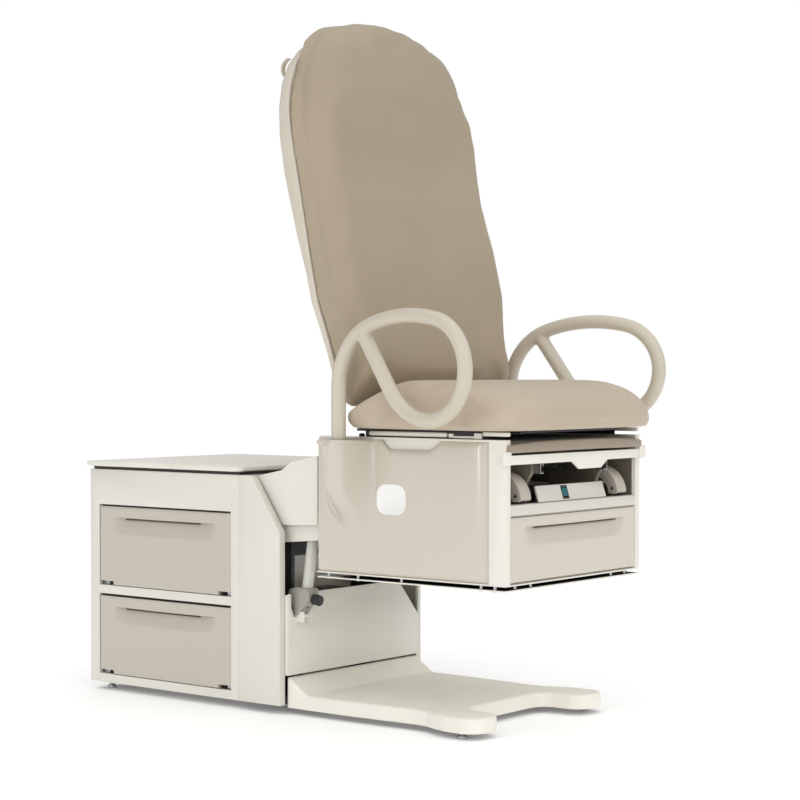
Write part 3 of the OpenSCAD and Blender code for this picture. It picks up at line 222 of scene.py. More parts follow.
def vinyl(name, color):
    """Upholstery vinyl: small pebbled grain with painted shade in its hollows, soft rubbed lights and faint
    stretch.
    """
    g = Graph(name)
    warp = g.add("ShaderNodeVectorMath", operation="ADD")
    drift = g.add("ShaderNodeTexNoise", {"Scale": 420})
    small = g.add("ShaderNodeVectorMath", {"Scale": 0.0012}, operation="SCALE")
    cells = g.add("ShaderNodeTexVoronoi", {"Scale": 780.0}, feature="SMOOTH_F1")
    g.link(g.place, drift.inputs["Vector"])
    g.link(drift.outputs["Color"], small.inputs[0])
    g.link(g.place, warp.inputs[0])
    g.link(small.outputs["Vector"], warp.inputs[1])
    g.link(warp.outputs["Vector"], cells.inputs["Vector"])
    pebble = cells.outputs["Distance"]
    rubbed = g.tone(g.ramp(g.cloud(4.5), 0, 1), color, dark=0.955, light=1.035)
    # Darkens the hollows between the pebbles: painted shade in the grain.
    hollow_shade = g.ramp(pebble, low=0.0, high=0.16, from_low=0.15, from_high=0.55)
    tone = g.mixed(hollow_shade, rubbed, shade(color, 0.72))
    gloss = g.ramp(g.cloud(11.0, detail=4), low=0.40, high=0.53)
    stretch = g.cloud(7.0, detail=2, vector=g.stretched((1.0, 1.0, 0.35)))
    pull = g.bump(stretch, strength=0.06, distance=0.012)
    grain = g.bump(pebble, strength=0.22, distance=0.0005, onto=pull)
    g.finish(tone, gloss, grain, Sheen_Weight=0.12, Sheen_Roughness=0.45, IOR=1.48)


def moulded(name, color, roughness=0.5, coat=0.0):
    """Spark-textured plastic."""
    g = Graph(name)
    tone = g.tone(g.ramp(g.cloud(6.0), 0, 1), color, dark=0.96, light=1.03)
    matt = g.ramp(g.cloud(45.0, detail=4), roughness - 0.06, roughness + 0.06)
    spark = g.bump(g.cloud(2600.0, detail=2), strength=0.14, distance=0.0003)
    g.finish(tone, matt, spark, Coat_Weight=coat, Coat_Roughness=0.12)


def brushed(name, color, roughness=0.3):
    """Zinc-plated steel with drawn marks."""
    g = Graph(name)
    marks = g.cloud(90.0, detail=5, vector=g.stretched((1.0, 0.06, 1.0)))
    tone = g.tone(g.ramp(marks, 0, 1), color, dark=0.90, light=1.06)
    dull = g.ramp(g.cloud(60.0, detail=4), roughness - 0.06, roughness + 0.10)
    g.finish(tone, dull, g.bump(marks, strength=0.10, distance=0.0004), Metallic=1.0)


def backdrop(name, color):
    """Matt floor that is almost even."""
    g = Graph(name)
    tone = g.tone(g.ramp(g.cloud(0.7, detail=2), 0, 1), color, dark=0.99, light=1.0)
    matt = g.ramp(g.cloud(1.1, detail=2), low=0.75, high=0.85)
    g.finish(tone, matt, g.bump(g.cloud(40.0, detail=2), strength=0.01, distance=0.001))


def make_finishes():
    c = colors()
    cream, panel, seat = tuple(c.cream), tuple(c.panel), tuple(c.seat_vinyl)
    painted("cream_paint", cream)
    gloss_moulding("beige_panel", panel)
    vinyl("back_vinyl", tuple(c.back_vinyl))
    vinyl("seat_vinyl", seat)
    painted("dark_frame", (0.016, 0.016, 0.019), roughness=0.48, grain=900, strength=0.2)
    brushed("steel", (0.52, 0.52, 0.52))
    moulded("motor_plastic", (0.36, 0.35, 0.315), roughness=0.42)
    painted("tube_paint", (0.66, 0.655, 0.60), roughness=0.34, grain=900, strength=0.06)
    # Dark taupe for the stirrup cavity: on its side walls it is painted shade, on the dividers partly their
    # own darker colour and partly painted shade.
    painted("shade_paint", (0.17, 0.145, 0.112), roughness=0.5, grain=900)
    moulded("cup_plastic", (0.50, 0.455, 0.385), roughness=0.42)
    # The foot pad's vinyl is the seat vinyl darkened: painted shade from the seat above the pad.
    vinyl("foot_vinyl", shade(seat, 0.64))
    # The cabinet drawer fronts take the panel moulding darkened: painted shade.
    gloss_moulding("drawer_panel", shade(panel, 0.85))
    # A darker copy of the cream paint for the cabinet's sides, rear panel and walls: painted shade.
    painted("cabinet_paint", shade(cream, 0.91))
    # A still darker copy of the cream paint for the front rail and the switch panel under the carriage:
    # painted shade.
    painted("dim_paint", shade(cream, 0.82))
    # A lighter copy of the cream paint for the foot plate: painted light that lifts the shade of the carriage
    # above it.
    painted("plate_paint", shade(cream, 1.08), roughness=0.5)
    # Near-black brown for the strips under the drawer grips' lips: painted shadow.
    moulded("grip_shade", (0.10, 0.085, 0.065), roughness=0.6)
    # Near-black for the backing behind the cabinet drawer fronts and for the sheets in the gap over the
    # safety pan: painted shade.
    moulded("black_seal", (0.006, 0.006, 0.006), roughness=0.6)
    moulded("black_plastic", (0.012, 0.012, 0.014), roughness=0.38)
    moulded("worktop_laminate", shade(cream, 0.97), roughness=0.40)
    moulded("drawer_plastic", shade(cream, 0.93), roughness=0.45)
    moulded("shell_plastic", (0.60, 0.55, 0.46), roughness=0.42)
    gloss_moulding("badge_white", (0.86, 0.86, 0.85))
    moulded("teal_plastic", tuple(c.switch), roughness=0.2, coat=0.4)
    painted("bar_paint", tuple(c.bar), roughness=0.34, grain=1100, strength=0.06)
    backdrop("floor_finish", (1.0, 1.0, 1.0))


# Modelling


def nothing():
    """Object mode with nothing selected."""
    if bpy.context.object and bpy.context.object.mode != "OBJECT":
        bpy.ops.object.mode_set(mode="OBJECT")
    bpy.ops.object.select_all(action="DESELECT")


def alone(obj):
    """Selects one object in object mode, and nothing else."""
    nothing()
    obj.select_set(True)
    bpy.context.view_layer.objects.active = obj
    return obj


def whole(obj):
    """Edit mode with all of one mesh selected."""
    alone(obj)
    bpy.ops.object.mode_set(mode="EDIT")
    bpy.ops.mesh.select_all(action="SELECT")


def done():
    bpy.ops.object.mode_set(mode="OBJECT")


def named(name):
    obj = bpy.context.object
    obj.name = obj.data.name = name
    bpy.ops.object.transform_apply(location=True, rotation=True, scale=True)
    return obj


def linked(name, data):
    """A new object in the scene that holds the data."""
    obj = bpy.data.objects.new(name, data)
    bpy.context.scene.collection.objects.link(obj)
    return obj


def block(name, low, high):
    low, high = Vector(low), Vector(high)
    nothing()
    bpy.ops.mesh.primitive_cube_add(size=1, location=(low + high) / 2)
    bpy.context.object.scale = high - low
    return named(name)


def soft_block(name, low, high, radius, segments=2, angle=40):
    """A block with its edges rounded."""
    return round_edges(block(name, low, high), radius, segments, angle)


def rod(name, start, end, radius, sides=48):
    start, end = Vector(start), Vector(end)
    nothing()
    turn = (end - start).to_track_quat("Z", "Y").to_euler()
    bpy.ops.mesh.primitive_cylinder_add(vertices=sides, radius=radius, depth=(end - start).length,
        location=(start + end) / 2, rotation=turn)
    return named(name)


def grid(name, columns, rows):
    """A flat sheet of quads, one unit square, to be laid over a surface."""
    nothing()
    bpy.ops.mesh.primitive_grid_add(x_subdivisions=columns, y_subdivisions=rows, size=1,
        location=(0.5, 0.5, 0))
    return named(name)


def prism(name, outline, sweep):
    """A flat outline of points in space, swept into a closed solid."""
    nothing()
    bpy.ops.mesh.primitive_circle_add(vertices=len(outline), radius=1, fill_type="NGON")
    obj = named(name)
    for v, place in zip(obj.data.vertices, outline):
        v.co = Vector(place)
    whole(obj)
    bpy.ops.mesh.extrude_region_move(TRANSFORM_OT_translate={"value": sweep})
    bpy.ops.mesh.select_all(action="SELECT")
    bpy.ops.mesh.normals_make_consistent(inside=False)
    done()
    return obj


def filleted(corners, radii, steps=5):
    """An outline with each corner rounded to its radius."""
    made = []
    n = len(corners)
    reach = 0.45
    for i, (corner, r) in enumerate(zip(corners, radii)):
        p, a, b = Vector(corner), Vector(corners[i - 1]), Vector(corners[(i + 1) % n])
        u, w = (a - p).normalized(), (b - p).normalized()
        half = math.acos(max(-1, min(1, u.dot(w)))) / 2
        t = min(r / math.tan(half), (a - p).length * reach, (b - p).length * reach)
        for s in range(steps + 1):
            f = s / steps
            made.append(tuple((1 - f) ** 2 * (p + u * t) + 2 * f * (1 - f) * p + f ** 2 * (p + w * t)))
    return made


def arc(center_x, center_y, radius, start, end, steps=10):
    """Points on an arc from one angle to another, in degrees."""
    turns = [math.radians(start + (end - start) * i / steps) for i in range(steps + 1)]
    return [(center_x + radius * math.cos(a), center_y + radius * math.sin(a)) for a in turns]


def points(obj, place):
    """Moves every point of a mesh to where place(co) says."""
    for v in obj.data.vertices:
        v.co = place(v.co.copy())
    obj.data.update()


def pick(obj, test, kind="FACE"):
    """Edit mode with the faces whose middle and normal pass the test, or the edges whose ends do."""
    alone(obj)
    bpy.ops.object.mode_set(mode="EDIT")
    bpy.ops.mesh.select_mode(type=kind)
    bpy.ops.mesh.select_all(action="DESELECT")
    bm = bmesh.from_edit_mesh(obj.data)
    bm.normal_update()
    if kind == "FACE":
        for f in bm.faces:
            f.select_set(bool(test(f.calc_center_median(), f.normal)))
    else:
        for e in bm.edges:
            e.select_set(bool(test(e.verts[0].co, e.verts[1].co)))
    bm.select_flush_mode()
    bmesh.update_edit_mesh(obj.data)


def modify(obj, kind, **settings):
    alone(obj)
    mod = obj.modifiers.new(kind.title(), kind)
    for key, value in settings.items():
        setattr(mod, key, value)
    bpy.ops.object.modifier_apply(modifier=mod.name)
    return obj


def remeshed(obj, voxel, smoothing=0):
    """Rebuilds a mesh in even quads, and smooths it if asked."""
    modify(obj, "REMESH", mode="VOXEL", voxel_size=voxel, use_smooth_shade=True)
    if smoothing:
        smoothed(obj, smoothing)


def smoothed(obj, iterations, **axes):
    modify(obj, "SMOOTH", factor=0.5, iterations=iterations, **axes)


def thickened(obj, sheet):
    """Gives a surface the thickness of a sheet, inwards."""
    modify(obj, "SOLIDIFY", thickness=sheet, offset=-1.0)


def round_edges(obj, width, segments=2, angle=40):
    return modify(obj, "BEVEL", width=width, segments=segments, limit_method="ANGLE",
        angle_limit=math.radians(angle), harden_normals=False)


def bevelled(obj, test, offset, segments):
    """Bevels the edges whose two ends pass the test."""
    pick(obj, test, "EDGE")
    bpy.ops.mesh.bevel(offset=offset, segments=segments, affect="EDGES")
    done()


def opened(obj, test):
    """Takes away the faces that pass the test."""
    pick(obj, test)
    bpy.ops.mesh.delete(type="FACE")
    done()


def stepped(obj, facing, inset, rise):
    """Insets the faces that look one way and raises what lies inside, or sinks it if rise is negative."""
    facing = Vector(facing)
    pick(obj, lambda c, n: n.dot(facing) > FACING)
    bpy.ops.mesh.inset(thickness=inset)
    bpy.ops.mesh.extrude_region_move(TRANSFORM_OT_translate={"value": facing * rise})
    done()


def sliced(obj, places, normal):
    """Adds a ring of edges where each plane crosses a mesh."""
    for place in places:
        whole(obj)
        bpy.ops.mesh.bisect(plane_co=place, plane_no=normal)
        done()


def cut(obj, place, normal):
    """Cuts a solid off where the plane's normal points, and closes it there."""
    whole(obj)
    bpy.ops.mesh.bisect(plane_co=place, plane_no=normal, clear_outer=True, use_fill=True)
    done()


def combined(obj, tool, operation="DIFFERENCE"):
    """Takes a second solid out of the first, or keeps what the two share, and drops the second."""
    modify(obj, "BOOLEAN", object=tool, operation=operation, solver="EXACT")
    bpy.data.objects.remove(tool)
    return obj


def outward(obj):
    """Merges a mesh's doubles and turns its faces outwards."""
    whole(obj)
    bpy.ops.mesh.remove_doubles(threshold=WELD)
    bpy.ops.mesh.normals_make_consistent(inside=False)
    done()
    return obj


def joined(name, pieces):
    nothing()
    for p in pieces:
        p.select_set(True)
    bpy.context.view_layer.objects.active = pieces[0]
    bpy.ops.object.join()
    pieces[0].name = pieces[0].data.name = name
    return pieces[0]


def mirrored(obj, name):
    """A copy on the other side of the middle plane, with its own mesh."""
    copy = linked(name, obj.data.copy())
    copy.data.name = name
    whole(copy)
    bpy.ops.transform.mirror(constraint_axis=(True, False, False), center_override=(0, 0, 0))
    bpy.ops.mesh.flip_normals()
    done()
    return copy


def copy_of(node, name):
    """A merged copy of a frame node's mesh, ready to be modelled on."""
    obj = linked(name, NODES[node].data.copy())
    obj.data.name = name
    whole(obj)
    bpy.ops.mesh.remove_doubles(threshold=WELD)
    bpy.ops.mesh.dissolve_limited(angle_limit=math.radians(0.6))
    done()
    return obj


def keep(obj, body, slot, *nodes, angle=35, smooth=False, finish=None):
    """Shades a finished piece, gives it its finish and lets it ride on its body."""
    alone(obj)
    if smooth:
        bpy.ops.object.shade_smooth()
    else:
        bpy.ops.object.shade_smooth_by_angle(angle=math.radians(angle))
    obj.data.materials.clear()
    obj.data.materials.append(FINISHES[finish or slot])
    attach(obj, body)
    if nodes:
        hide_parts(*nodes)
    return obj


def keep_pair(right, body, slot, *nodes, **look):
    """Keeps a right-hand piece and its mirror image, named "left" wherever it is named "right"."""
    names = [right.name, body, *nodes]
    left_name, left_body, *left_nodes = [name.replace("right", "left") for name in names]
    left = mirrored(right, left_name)
    keep(right, body, slot, *nodes, **look)
    keep(left, left_body, slot, *left_nodes, **look)


def eased(node, width, segments=2, finish=None):
    """A frame node with its sharp edges eased, which stands for the node."""
    obj = copy_of(node, node + "_eased")
    round_edges(obj, width, segments)
    return keep(obj, NODE_BODY[node], NODE_SLOT[node], node, finish=finish)


def smoothstep(low, high, value):
    t = min(1.0, max(0.0, (value - low) / (high - low)))
    return t * t * (3 - 2 * t)


def along_table(rows, place):
    """The value that a table of (place, value) rows gives, eased between its rows."""
    if place <= rows[0][0]:
        return rows[0][1]
    for (a, before), (b, after) in zip(rows, rows[1:]):
        if place <= b:
            return before + (after - before) * smoothstep(a, b, place)
    return rows[-1][1]


def rounded_fall(radius, inside):
    """How far a rounded border of this radius lies below its face, at a distance inside the edge."""
    if inside >= radius:
        return 0.0
    return radius - math.sqrt(max(0.0, radius * radius - (radius - inside) ** 2))


# Padding


CLOTH_FRAMES = 20
CLOTH = {
    "quality": 4,
    "mass": 0.4,
    "tension_stiffness": 18,
    "compression_stiffness": 18,
    "bending_stiffness": 1.2,
    "use_pressure": True,
    "uniform_pressure_force": 4,
    "vertex_group_mass": "held",
}


def puffed(obj, voxel, rise, pinned, shrink):
    """Swells a padded form under its cover with a pressure simulation, its pinned points held still.

    The form starts smaller by shrink, and no point moves further than rise.
    """
    remeshed(obj, voxel, smoothing=6)
    modify(obj, "DISPLACE", strength=-shrink, mid_level=0.0)
    rest = [v.co.copy() for v in obj.data.vertices]
    held = obj.vertex_groups.new(name="held")
    held.add([v.index for v in obj.data.vertices if pinned(v.co)], 1.0, "REPLACE")
    alone(obj)
    cloth = obj.modifiers.new("Cloth", "CLOTH")
    for key, value in CLOTH.items():
        setattr(cloth.settings, key, value)
    cloth.settings.effector_weights.gravity = 0
    cloth.collision_settings.use_collision = False
    cloth.point_cache.frame_start, cloth.point_cache.frame_end = 1, CLOTH_FRAMES
    for step in range(1, CLOTH_FRAMES + 1):
        bpy.context.scene.frame_set(step)
    bpy.ops.object.modifier_apply(modifier=cloth.name)
    for v, start in zip(obj.data.vertices, rest):
        move = v.co - start
        if move.length > rise:
            v.co = start + move.normalized() * rise
    bpy.context.scene.frame_set(1)
    smoothed(obj, 4)
    return modify(obj, "SUBSURF", levels=1, render_levels=1)


class EXAM_OT_seat_pad(bpy.types.Operator):
    """Models the seat cushion with its waterfall front"""

    bl_idname = "exam.seat_pad"
    bl_label = "Seat cushion"

    def execute(self, context):
        low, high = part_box("seat_cushion")
        half, deep, rear, slack = 0.332, high.z - low.z, -0.200, 0.002
        front_drop, flare, front_slack = 0.026, 0.020, 0.009
        corner_out, corner_back = 0.030, 0.034
        slope_foot, slope_y, slope_rate, slope_start, slope_keep = 0.034, -0.225, 0.56, -0.36, 0.12
        pad = copy_of("seat_cushion", "seat_pad")
        puffed(pad, voxel=0.0075, rise=sizes().puff * 0.5, pinned=lambda c: c.z < low.z + 0.004,
            shrink=0.0008)

        def tailored(c):
            """Lowers the front corners to a wedge and cuts the rear down in a straight slope."""
            up, side = (c.z - low.z) / deep, abs(c.x) / half
            fore = 1 - smoothstep(-0.68, -0.46, c.y)
            aside = smoothstep(0.45, 1.0, side)
            z = c.z - front_drop * up * fore * aside ** 1.4
            x = c.x * (1 + flare * fore * aside * (1 - 0.8 * up))
            corner = smoothstep(0.62, 0.97, side) * smoothstep(-0.34, -0.215, c.y)
            x += math.copysign(corner_out * corner, c.x)
            x = max(-half - slack, min(half + front_slack * fore + slack, x))
            shift = corner_back * smoothstep(0.62, 0.96, side) * smoothstep(-0.31, slope_y, c.y)
            y = min(rear, c.y + shift)
            slope = low.z + slope_foot + (slope_y - y) * slope_rate
            if y > slope_start and z > slope:
                z = slope + (z - slope) * slope_keep
            return Vector((x, y, max(z, low.z)))

        points(pad, tailored)
        keep(pad, "carriage", "seat_vinyl", "seat_cushion", smooth=True)
        return {"FINISHED"}


# How far the back's face and sides stand out, by the distance up the back: (up, out) in metres.
BACK_FRONT = ((0.30, 0.0), (0.43, -0.003), (0.51, -0.007), (0.56, -0.010), (0.61, -0.009),
    (0.66, -0.006), (0.72, -0.002), (0.78, 0.001), (0.84, -0.002), (0.88, 0.0), (0.93, 0.002))
BACK_MIDDLE = ((0.36, 0.0), (0.52, -0.009), (0.60, -0.020), (0.655, -0.024), (0.72, -0.008),
    (0.81, 0.014), (0.88, 0.012), (0.96, 0.0))
BACK_SIDE = ((0.20, -0.003), (0.43, -0.004), (0.51, -0.007), (0.56, -0.008), (0.61, -0.006),
    (0.66, -0.006), (0.72, -0.007), (0.80, -0.010), (0.88, -0.007), (0.95, 0.0))


def on_back(c):
    """A point's distance up the back and out of its face."""
    return (c - HINGE).dot(ALONG), (c - HINGE).dot(ACROSS)


class EXAM_OT_back_pad(bpy.types.Operator):
    """Models the tall back cushion with its thicker head end"""

    bl_idname = "exam.back_pad"
    bl_label = "Back cushion"

    def execute(self, context):
        base, half, slack = 0.0275, 0.337, 0.006
        rear_out, corner_out, corner_drop = 0.0125, 0.018, 0.038
        crown_start, crown_fill, crown_rear, crown_lift = 0.78, 0.009, 0.014, 0.006
        edge_tuck = 0.007
        pad = copy_of("back_cushion", "back_pad")

        def contour(c):
            """Draws the front face by the distance up the back: a hollow at the neck, a fuller head."""
            up, front = on_back(c)
            middle = 1 - smoothstep(0.50, 0.88, abs(c.x) / half)
            shift = along_table(BACK_MIDDLE, up) * middle + along_table(BACK_FRONT, up) * (1 - middle)
            return c + ACROSS * shift * smoothstep(base + 0.03, base + 0.08, front)

        def fuller(c):
            """Fills the sides out to the shell, squares the lower corners and fills the crown."""
            up, front = on_back(c)
            side, out = abs(c.x) / half, math.copysign(1, c.x)
            rear = 1 - smoothstep(base + 0.004, base + 0.036, front)
            corner = smoothstep(0.62, 0.94, side) * (1 - smoothstep(0.06, 0.18, up))
            x = c.x + out * side ** 3 * (rear_out * rear + corner_out * corner)
            x += out * side ** 2 * along_table(BACK_SIDE, up) * (1 - rear)
            reach = Vector((c.x, max(0.0, up - crown_start)))
            diagonal = 2 * abs(reach.x) * reach.y / max(reach.length_squared, 1e-6)
            crown = diagonal * smoothstep(0.84, 0.93, up) * (crown_fill + crown_rear * rear)
            x += out * crown * 0.6
            lift = crown + crown_lift * smoothstep(0.88, 0.96, up)
            lift -= corner_drop * corner * (1 - smoothstep(base + 0.015, base + 0.065, front))
            x = max(-half - slack, min(half + slack, x))
            tuck = edge_tuck * rear * smoothstep(0.90, 1.0, side)
            return Vector((x, c.y, c.z)) + ALONG * lift - ACROSS * tuck

        remeshed(pad, voxel=0.012)
        points(pad, contour)
        puffed(pad, voxel=0.009, rise=sizes().puff * 0.4, pinned=lambda c: on_back(c)[1] < base + 0.004,
            shrink=0.0008)
        points(pad, fuller)
        keep(pad, "back", "back_vinyl", "back_cushion", smooth=True)
        return {"FINISHED"}


class EXAM_OT_foot_pad(bpy.types.Operator):
    """Models the thin pad of the foot extension with the nose that wraps over the tray's lip"""

    bl_idname = "exam.foot_pad"
    bl_label = "Foot cushion"

    def execute(self, context):
        low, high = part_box("foot_pad")
        reach, inner, face, post = 0.2716, 0.247, -0.6560, -0.6468
        nose_up, middle_up, set_back, end_drop, under_drop, tuck = 0.006, 0.015, 0.034, 0.008, 0.001, 0.0005
        near = 0.001
        pad = copy_of("foot_pad", "foot_pad_cover")
        puffed(pad, voxel=0.006, rise=0.004, pinned=lambda c: c.z < low.z + 0.003, shrink=0.003)
        points(pad, lambda c: Vector((c.x, c.y, min(max(c.z, low.z), high.z))))
        nose = block("foot_pad_nose", (-reach, face, low.z + nose_up), (reach, post, high.z))
        sliced(nose, [(x, 0, 0) for x in (-inner, -0.17, -0.09, 0, 0.09, 0.17, inner)], (1, 0, 0))

        def tapered(c):
            """Thins the nose towards its ends and runs its middle back under the pad."""
            share = abs(c.x) / reach
            z = c.z - (end_drop * share ** 4 if c.z > low.z + middle_up else under_drop * share)
            y = post + set_back if c.y > post - near and abs(c.x) < inner + near else c.y
            return Vector((c.x, y, z - (tuck if y > post else 0)))

        points(nose, tapered)
        round_edges(nose, 0.0042, segments=4, angle=50)
        pad = joined("foot_pad_cover", [pad, nose])
        # The pad takes the darkened seat vinyl, as painted shade under the seat.
        keep(pad, "foot_extension", "seat_vinyl", "foot_pad", smooth=True, finish="foot_vinyl")
        return {"FINISHED"}


# Panels, fronts and covers


class EXAM_OT_side_panels(bpy.types.Operator):
    """Models the gloss side panels with the swelling that holds each grab bar"""

    bl_idname = "exam.side_panels"
    bl_label = "Side panels"

    def execute(self, context):
        low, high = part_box("side_panel_right")
        wall, edge, sheet = 0.275, sizes().panel_edge, 0.0035
        nose, front_run, rear_run, fairing = 0.036, 0.058, 0.108, 1.7
        front_bend, front_reach = 0.0085, 0.050
        notch_front, notch_rear, notch_depth = (-0.472, -0.421), (-0.316, -0.282), 0.023
        cap_deep, cap_rear, cap_taper, cap_below, bore_radius = 0.012, 0.098, 0.42, 0.001, 0.0242
        stand, shoulder = BAR_X - wall, nose * 0.8

        def top_at(y):
            """The panel's upper edge, which dips to a notch under the seat."""
            return high.z - notch_depth * (smoothstep(*notch_front, y) - smoothstep(*notch_rear, y))

        def swelling(y, z):
            """A round nose at the bar's socket that falls away in a fairing to the front and the rear."""
            run = front_run if y < BAR_Y else rear_run
            d = abs(y - BAR_Y)
            if d < shoulder:
                out = stand + math.sqrt(max(0.0, nose * nose - d * d))
            else:
                knee = stand + nose * 0.6
                out = knee * max(0.0, 1 - (d - shoulder) / (run - shoulder)) ** fairing
            return out * smoothstep(0.43, 0.585, z)

        def lay(c):
            """Lays the unit grid over the panel and turns its borders and its front inwards."""
            y = low.y + (high.y - low.y) * c.x
            top = top_at(y)
            z = low.z + (top - low.z) * c.y
            fall = rounded_fall(edge, min(y - low.y, high.y - y, z - low.z, top - z))
            bend = front_bend * (1 - math.sqrt(1 - max(0.0, 1 - (y - low.y) / front_reach) ** 2))
            return Vector((wall - max(fall * 0.85, bend) + swelling(y, z), y, z))

        panel = grid("side_panel_right_skin", 150, 76)
        points(panel, lay)
        smoothed(panel, 4, use_x=True, use_y=False, use_z=False)
        thickened(panel, sheet)
        outward(panel)
        cap = block("socket_cap", (wall - cap_deep, BAR_Y - front_run, high.z - cap_deep),
            (BAR_X + nose - 0.004, BAR_Y + cap_rear, high.z - cap_below))
        points(cap, lambda c: Vector((c.x, BAR_Y + (c.y - BAR_Y) * (1.0 if c.x < wall else cap_taper), c.z)))
        round_edges(cap, 0.010, segments=4, angle=30)
        for piece in (panel, cap):
            combined(piece, rod("socket_bore", (BAR_X, BAR_Y, high.z - 0.03), (BAR_X, BAR_Y, high.z + 0.02),
                bore_radius))
        right = joined("side_panel_right_skin", [panel, cap])
        keep_pair(right, "carriage", "beige_panel", "side_panel_right", angle=40)
        return {"FINISHED"}


def scooped_front(name, width, height, thickness, lip_drop, grip_run):
    """A drawer front: a rounded slab with a sharp-lipped scoop for the fingers.

    It stands in X (width) and Z, its face towards -Y, its lower middle at the origin.
    """
    depth, edge, sag = sizes().grip_depth, 0.0032, 0.004
    scoop, scoop_run, scoop_fade = 0.05, 0.044, 0.07
    lip = height - lip_drop
    rows = [0, 0.0015, 0.004, 0.008, 0.02, 0.04, 0.06] + [lip - scoop + 0.004 * i for i in range(12)]
    rows += [lip - 0.0015, lip, lip + 0.0015, lip + 0.006]
    rows += [height - 0.008, height - 0.004, height - 0.0015, height]
    rows = sorted(r for r in set(round(r, 5) for r in rows) if 0 <= r <= height)
    slab = grid(name, 72, len(rows) - 1)

    def lay(c):
        """Lays the unit grid on the rows, rounds the borders and sinks the scoop under the lip."""
        x = (c.x - 0.5) * width
        z = rows[min(len(rows) - 1, max(0, round(c.y * (len(rows) - 1))))]
        y = rounded_fall(edge, min(x + width / 2, width / 2 - x, z, height - z))
        if lip - scoop < z <= lip + 1e-5:
            reach = 1 - smoothstep(grip_run / 2 - scoop_fade, grip_run / 2, abs(x))
            y += depth * reach * max(0.0, 1 - (lip - z) / scoop_run) ** 1.6
        curve = sag * (1 - (2 * x / width) ** 2)
        inner = smoothstep(0.0, 0.06, z) * (1 - smoothstep(lip + 0.006, height, z))
        return Vector((x, y, z - curve * inner * 0.6))

    points(slab, lay)
    alone(slab)
    bpy.ops.object.mode_set(mode="EDIT")
    bpy.ops.mesh.select_mode(type="EDGE")
    bpy.ops.mesh.select_all(action="DESELECT")
    bm = bmesh.from_edit_mesh(slab.data)
    for e in bm.edges:
        e.select_set(e.is_boundary)
    bmesh.update_edit_mesh(slab.data)
    bpy.ops.mesh.extrude_region_move(TRANSFORM_OT_translate={"value": (0, thickness, 0)})
    bpy.ops.transform.resize(value=(1, 0, 1), center_override=(0, thickness, 0))
    bpy.ops.mesh.edge_face_add()
    done()
    points(slab, lambda c: Vector((c.x, min(c.y, thickness), c.z)))
    return outward(slab)


class EXAM_OT_drawer_fronts(bpy.types.Operator):
    """Models the four cabinet drawer fronts and the carriage drawer's front"""

    bl_idname = "exam.drawer_fronts"
    bl_label = "Drawer fronts"

    def cabinet_front(self, level):
        """Models one drawer's two fronts, the black backing behind them that paints the shade in the gap
        above each front, and the dark strips under their grips' lips, which paint the shadow there.
        """
        head_gap, backing, lip_drop, spare = 0.0035, 0.0018, 0.028, 0.01
        foot_front, foot_rear, foot_high = 0.041, 0.052, 0.0105
        strip, strip_deep, strip_front, strip_rear = 0.0026, 0.0085, 0.125, 0.140
        body, node = f"{level}_drawer", f"{level}_front_right"
        low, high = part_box(node)
        middle = (low.y + high.y) / 2
        front = scooped_front(f"{node}_face", high.y - low.y, high.z - low.z - head_gap,
            high.x - low.x - backing, lip_drop, grip_run=0.40)
        points(front, lambda c: Vector((high.x - c.y, middle + c.x, low.z + c.z)))
        outward(front)
        for y0, y1 in ((low.y - spare, low.y + foot_front), (high.y - foot_rear, high.y + spare)):
            combined(front, block("foot_relief", (low.x - spare, y0, low.z - spare),
                (high.x + spare, y1, low.z + foot_high)))
        # A black backing behind the front: it paints the shade in the gap above the front and shows black in
        # the notches cut at the front's feet.
        gap_shade = copy_of(node, f"{level}_seal_right")
        cut(gap_shade, (low.x + backing, 0, 0), (1, 0, 0))
        round_edges(gap_shade, 0.0004, segments=1, angle=50)
        lip = high.z - head_gap - lip_drop - strip
        # A dark strip under the grip's lip: painted shadow.
        grip_shadow = soft_block(f"{level}_grip_right", (high.x - strip_deep, middle - strip_front, lip - strip),
            (high.x - strip, middle + strip_rear, lip), radius=0.0010)
        # Each cabinet front takes the darkened panel moulding, as painted shade.
        for piece, slot, finish in ((front, "beige_panel", "drawer_panel"),
                (grip_shadow, "beige_panel", "grip_shade"), (gap_shade, "black_plastic", "black_seal")):
            keep_pair(piece, body, slot, node, angle=40, finish=finish)

    def carriage_front(self):
        """Models the carriage drawer's front, the dark strip under its grip's lip that paints the shadow
        there, and the upstand on its top.
        """
        body, slot, node = "front_drawer", "beige_panel", "front_drawer_face"
        lip_drop, lip_gap, strip, strip_left, strip_right = 0.024, 0.0026, 0.0022, 0.160, 0.175
        stand_half, stand_in, stand_high = 0.2535, 0.006, 0.0014
        low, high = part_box(node)
        front = scooped_front("front_drawer_skin", high.x - low.x, high.z - low.z, high.y - low.y, lip_drop,
            grip_run=0.44)
        points(front, lambda c: Vector((c.x, low.y + c.y, low.z + c.z)))
        keep(outward(front), body, slot, node, angle=40)
        lip = high.z - lip_drop - lip_gap
        # A dark strip under the grip's lip: painted shadow.
        grip_shadow = soft_block("front_grip", (-strip_left, low.y + 0.0028, lip - strip),
            (strip_right, low.y + 0.0085, lip), radius=0.0010)
        keep(grip_shadow, body, slot, node, finish="grip_shade")
        upstand = soft_block("front_drawer_upstand", (-stand_half, low.y + stand_in, high.z - 0.001),
            (stand_half, high.y, high.z + stand_high), radius=0.0004, segments=1, angle=50)
        keep(upstand, body, slot, node)

    def execute(self, context):
        for level in ("upper", "lower"):
            self.cabinet_front(level)
        self.carriage_front()
        return {"FINISHED"}


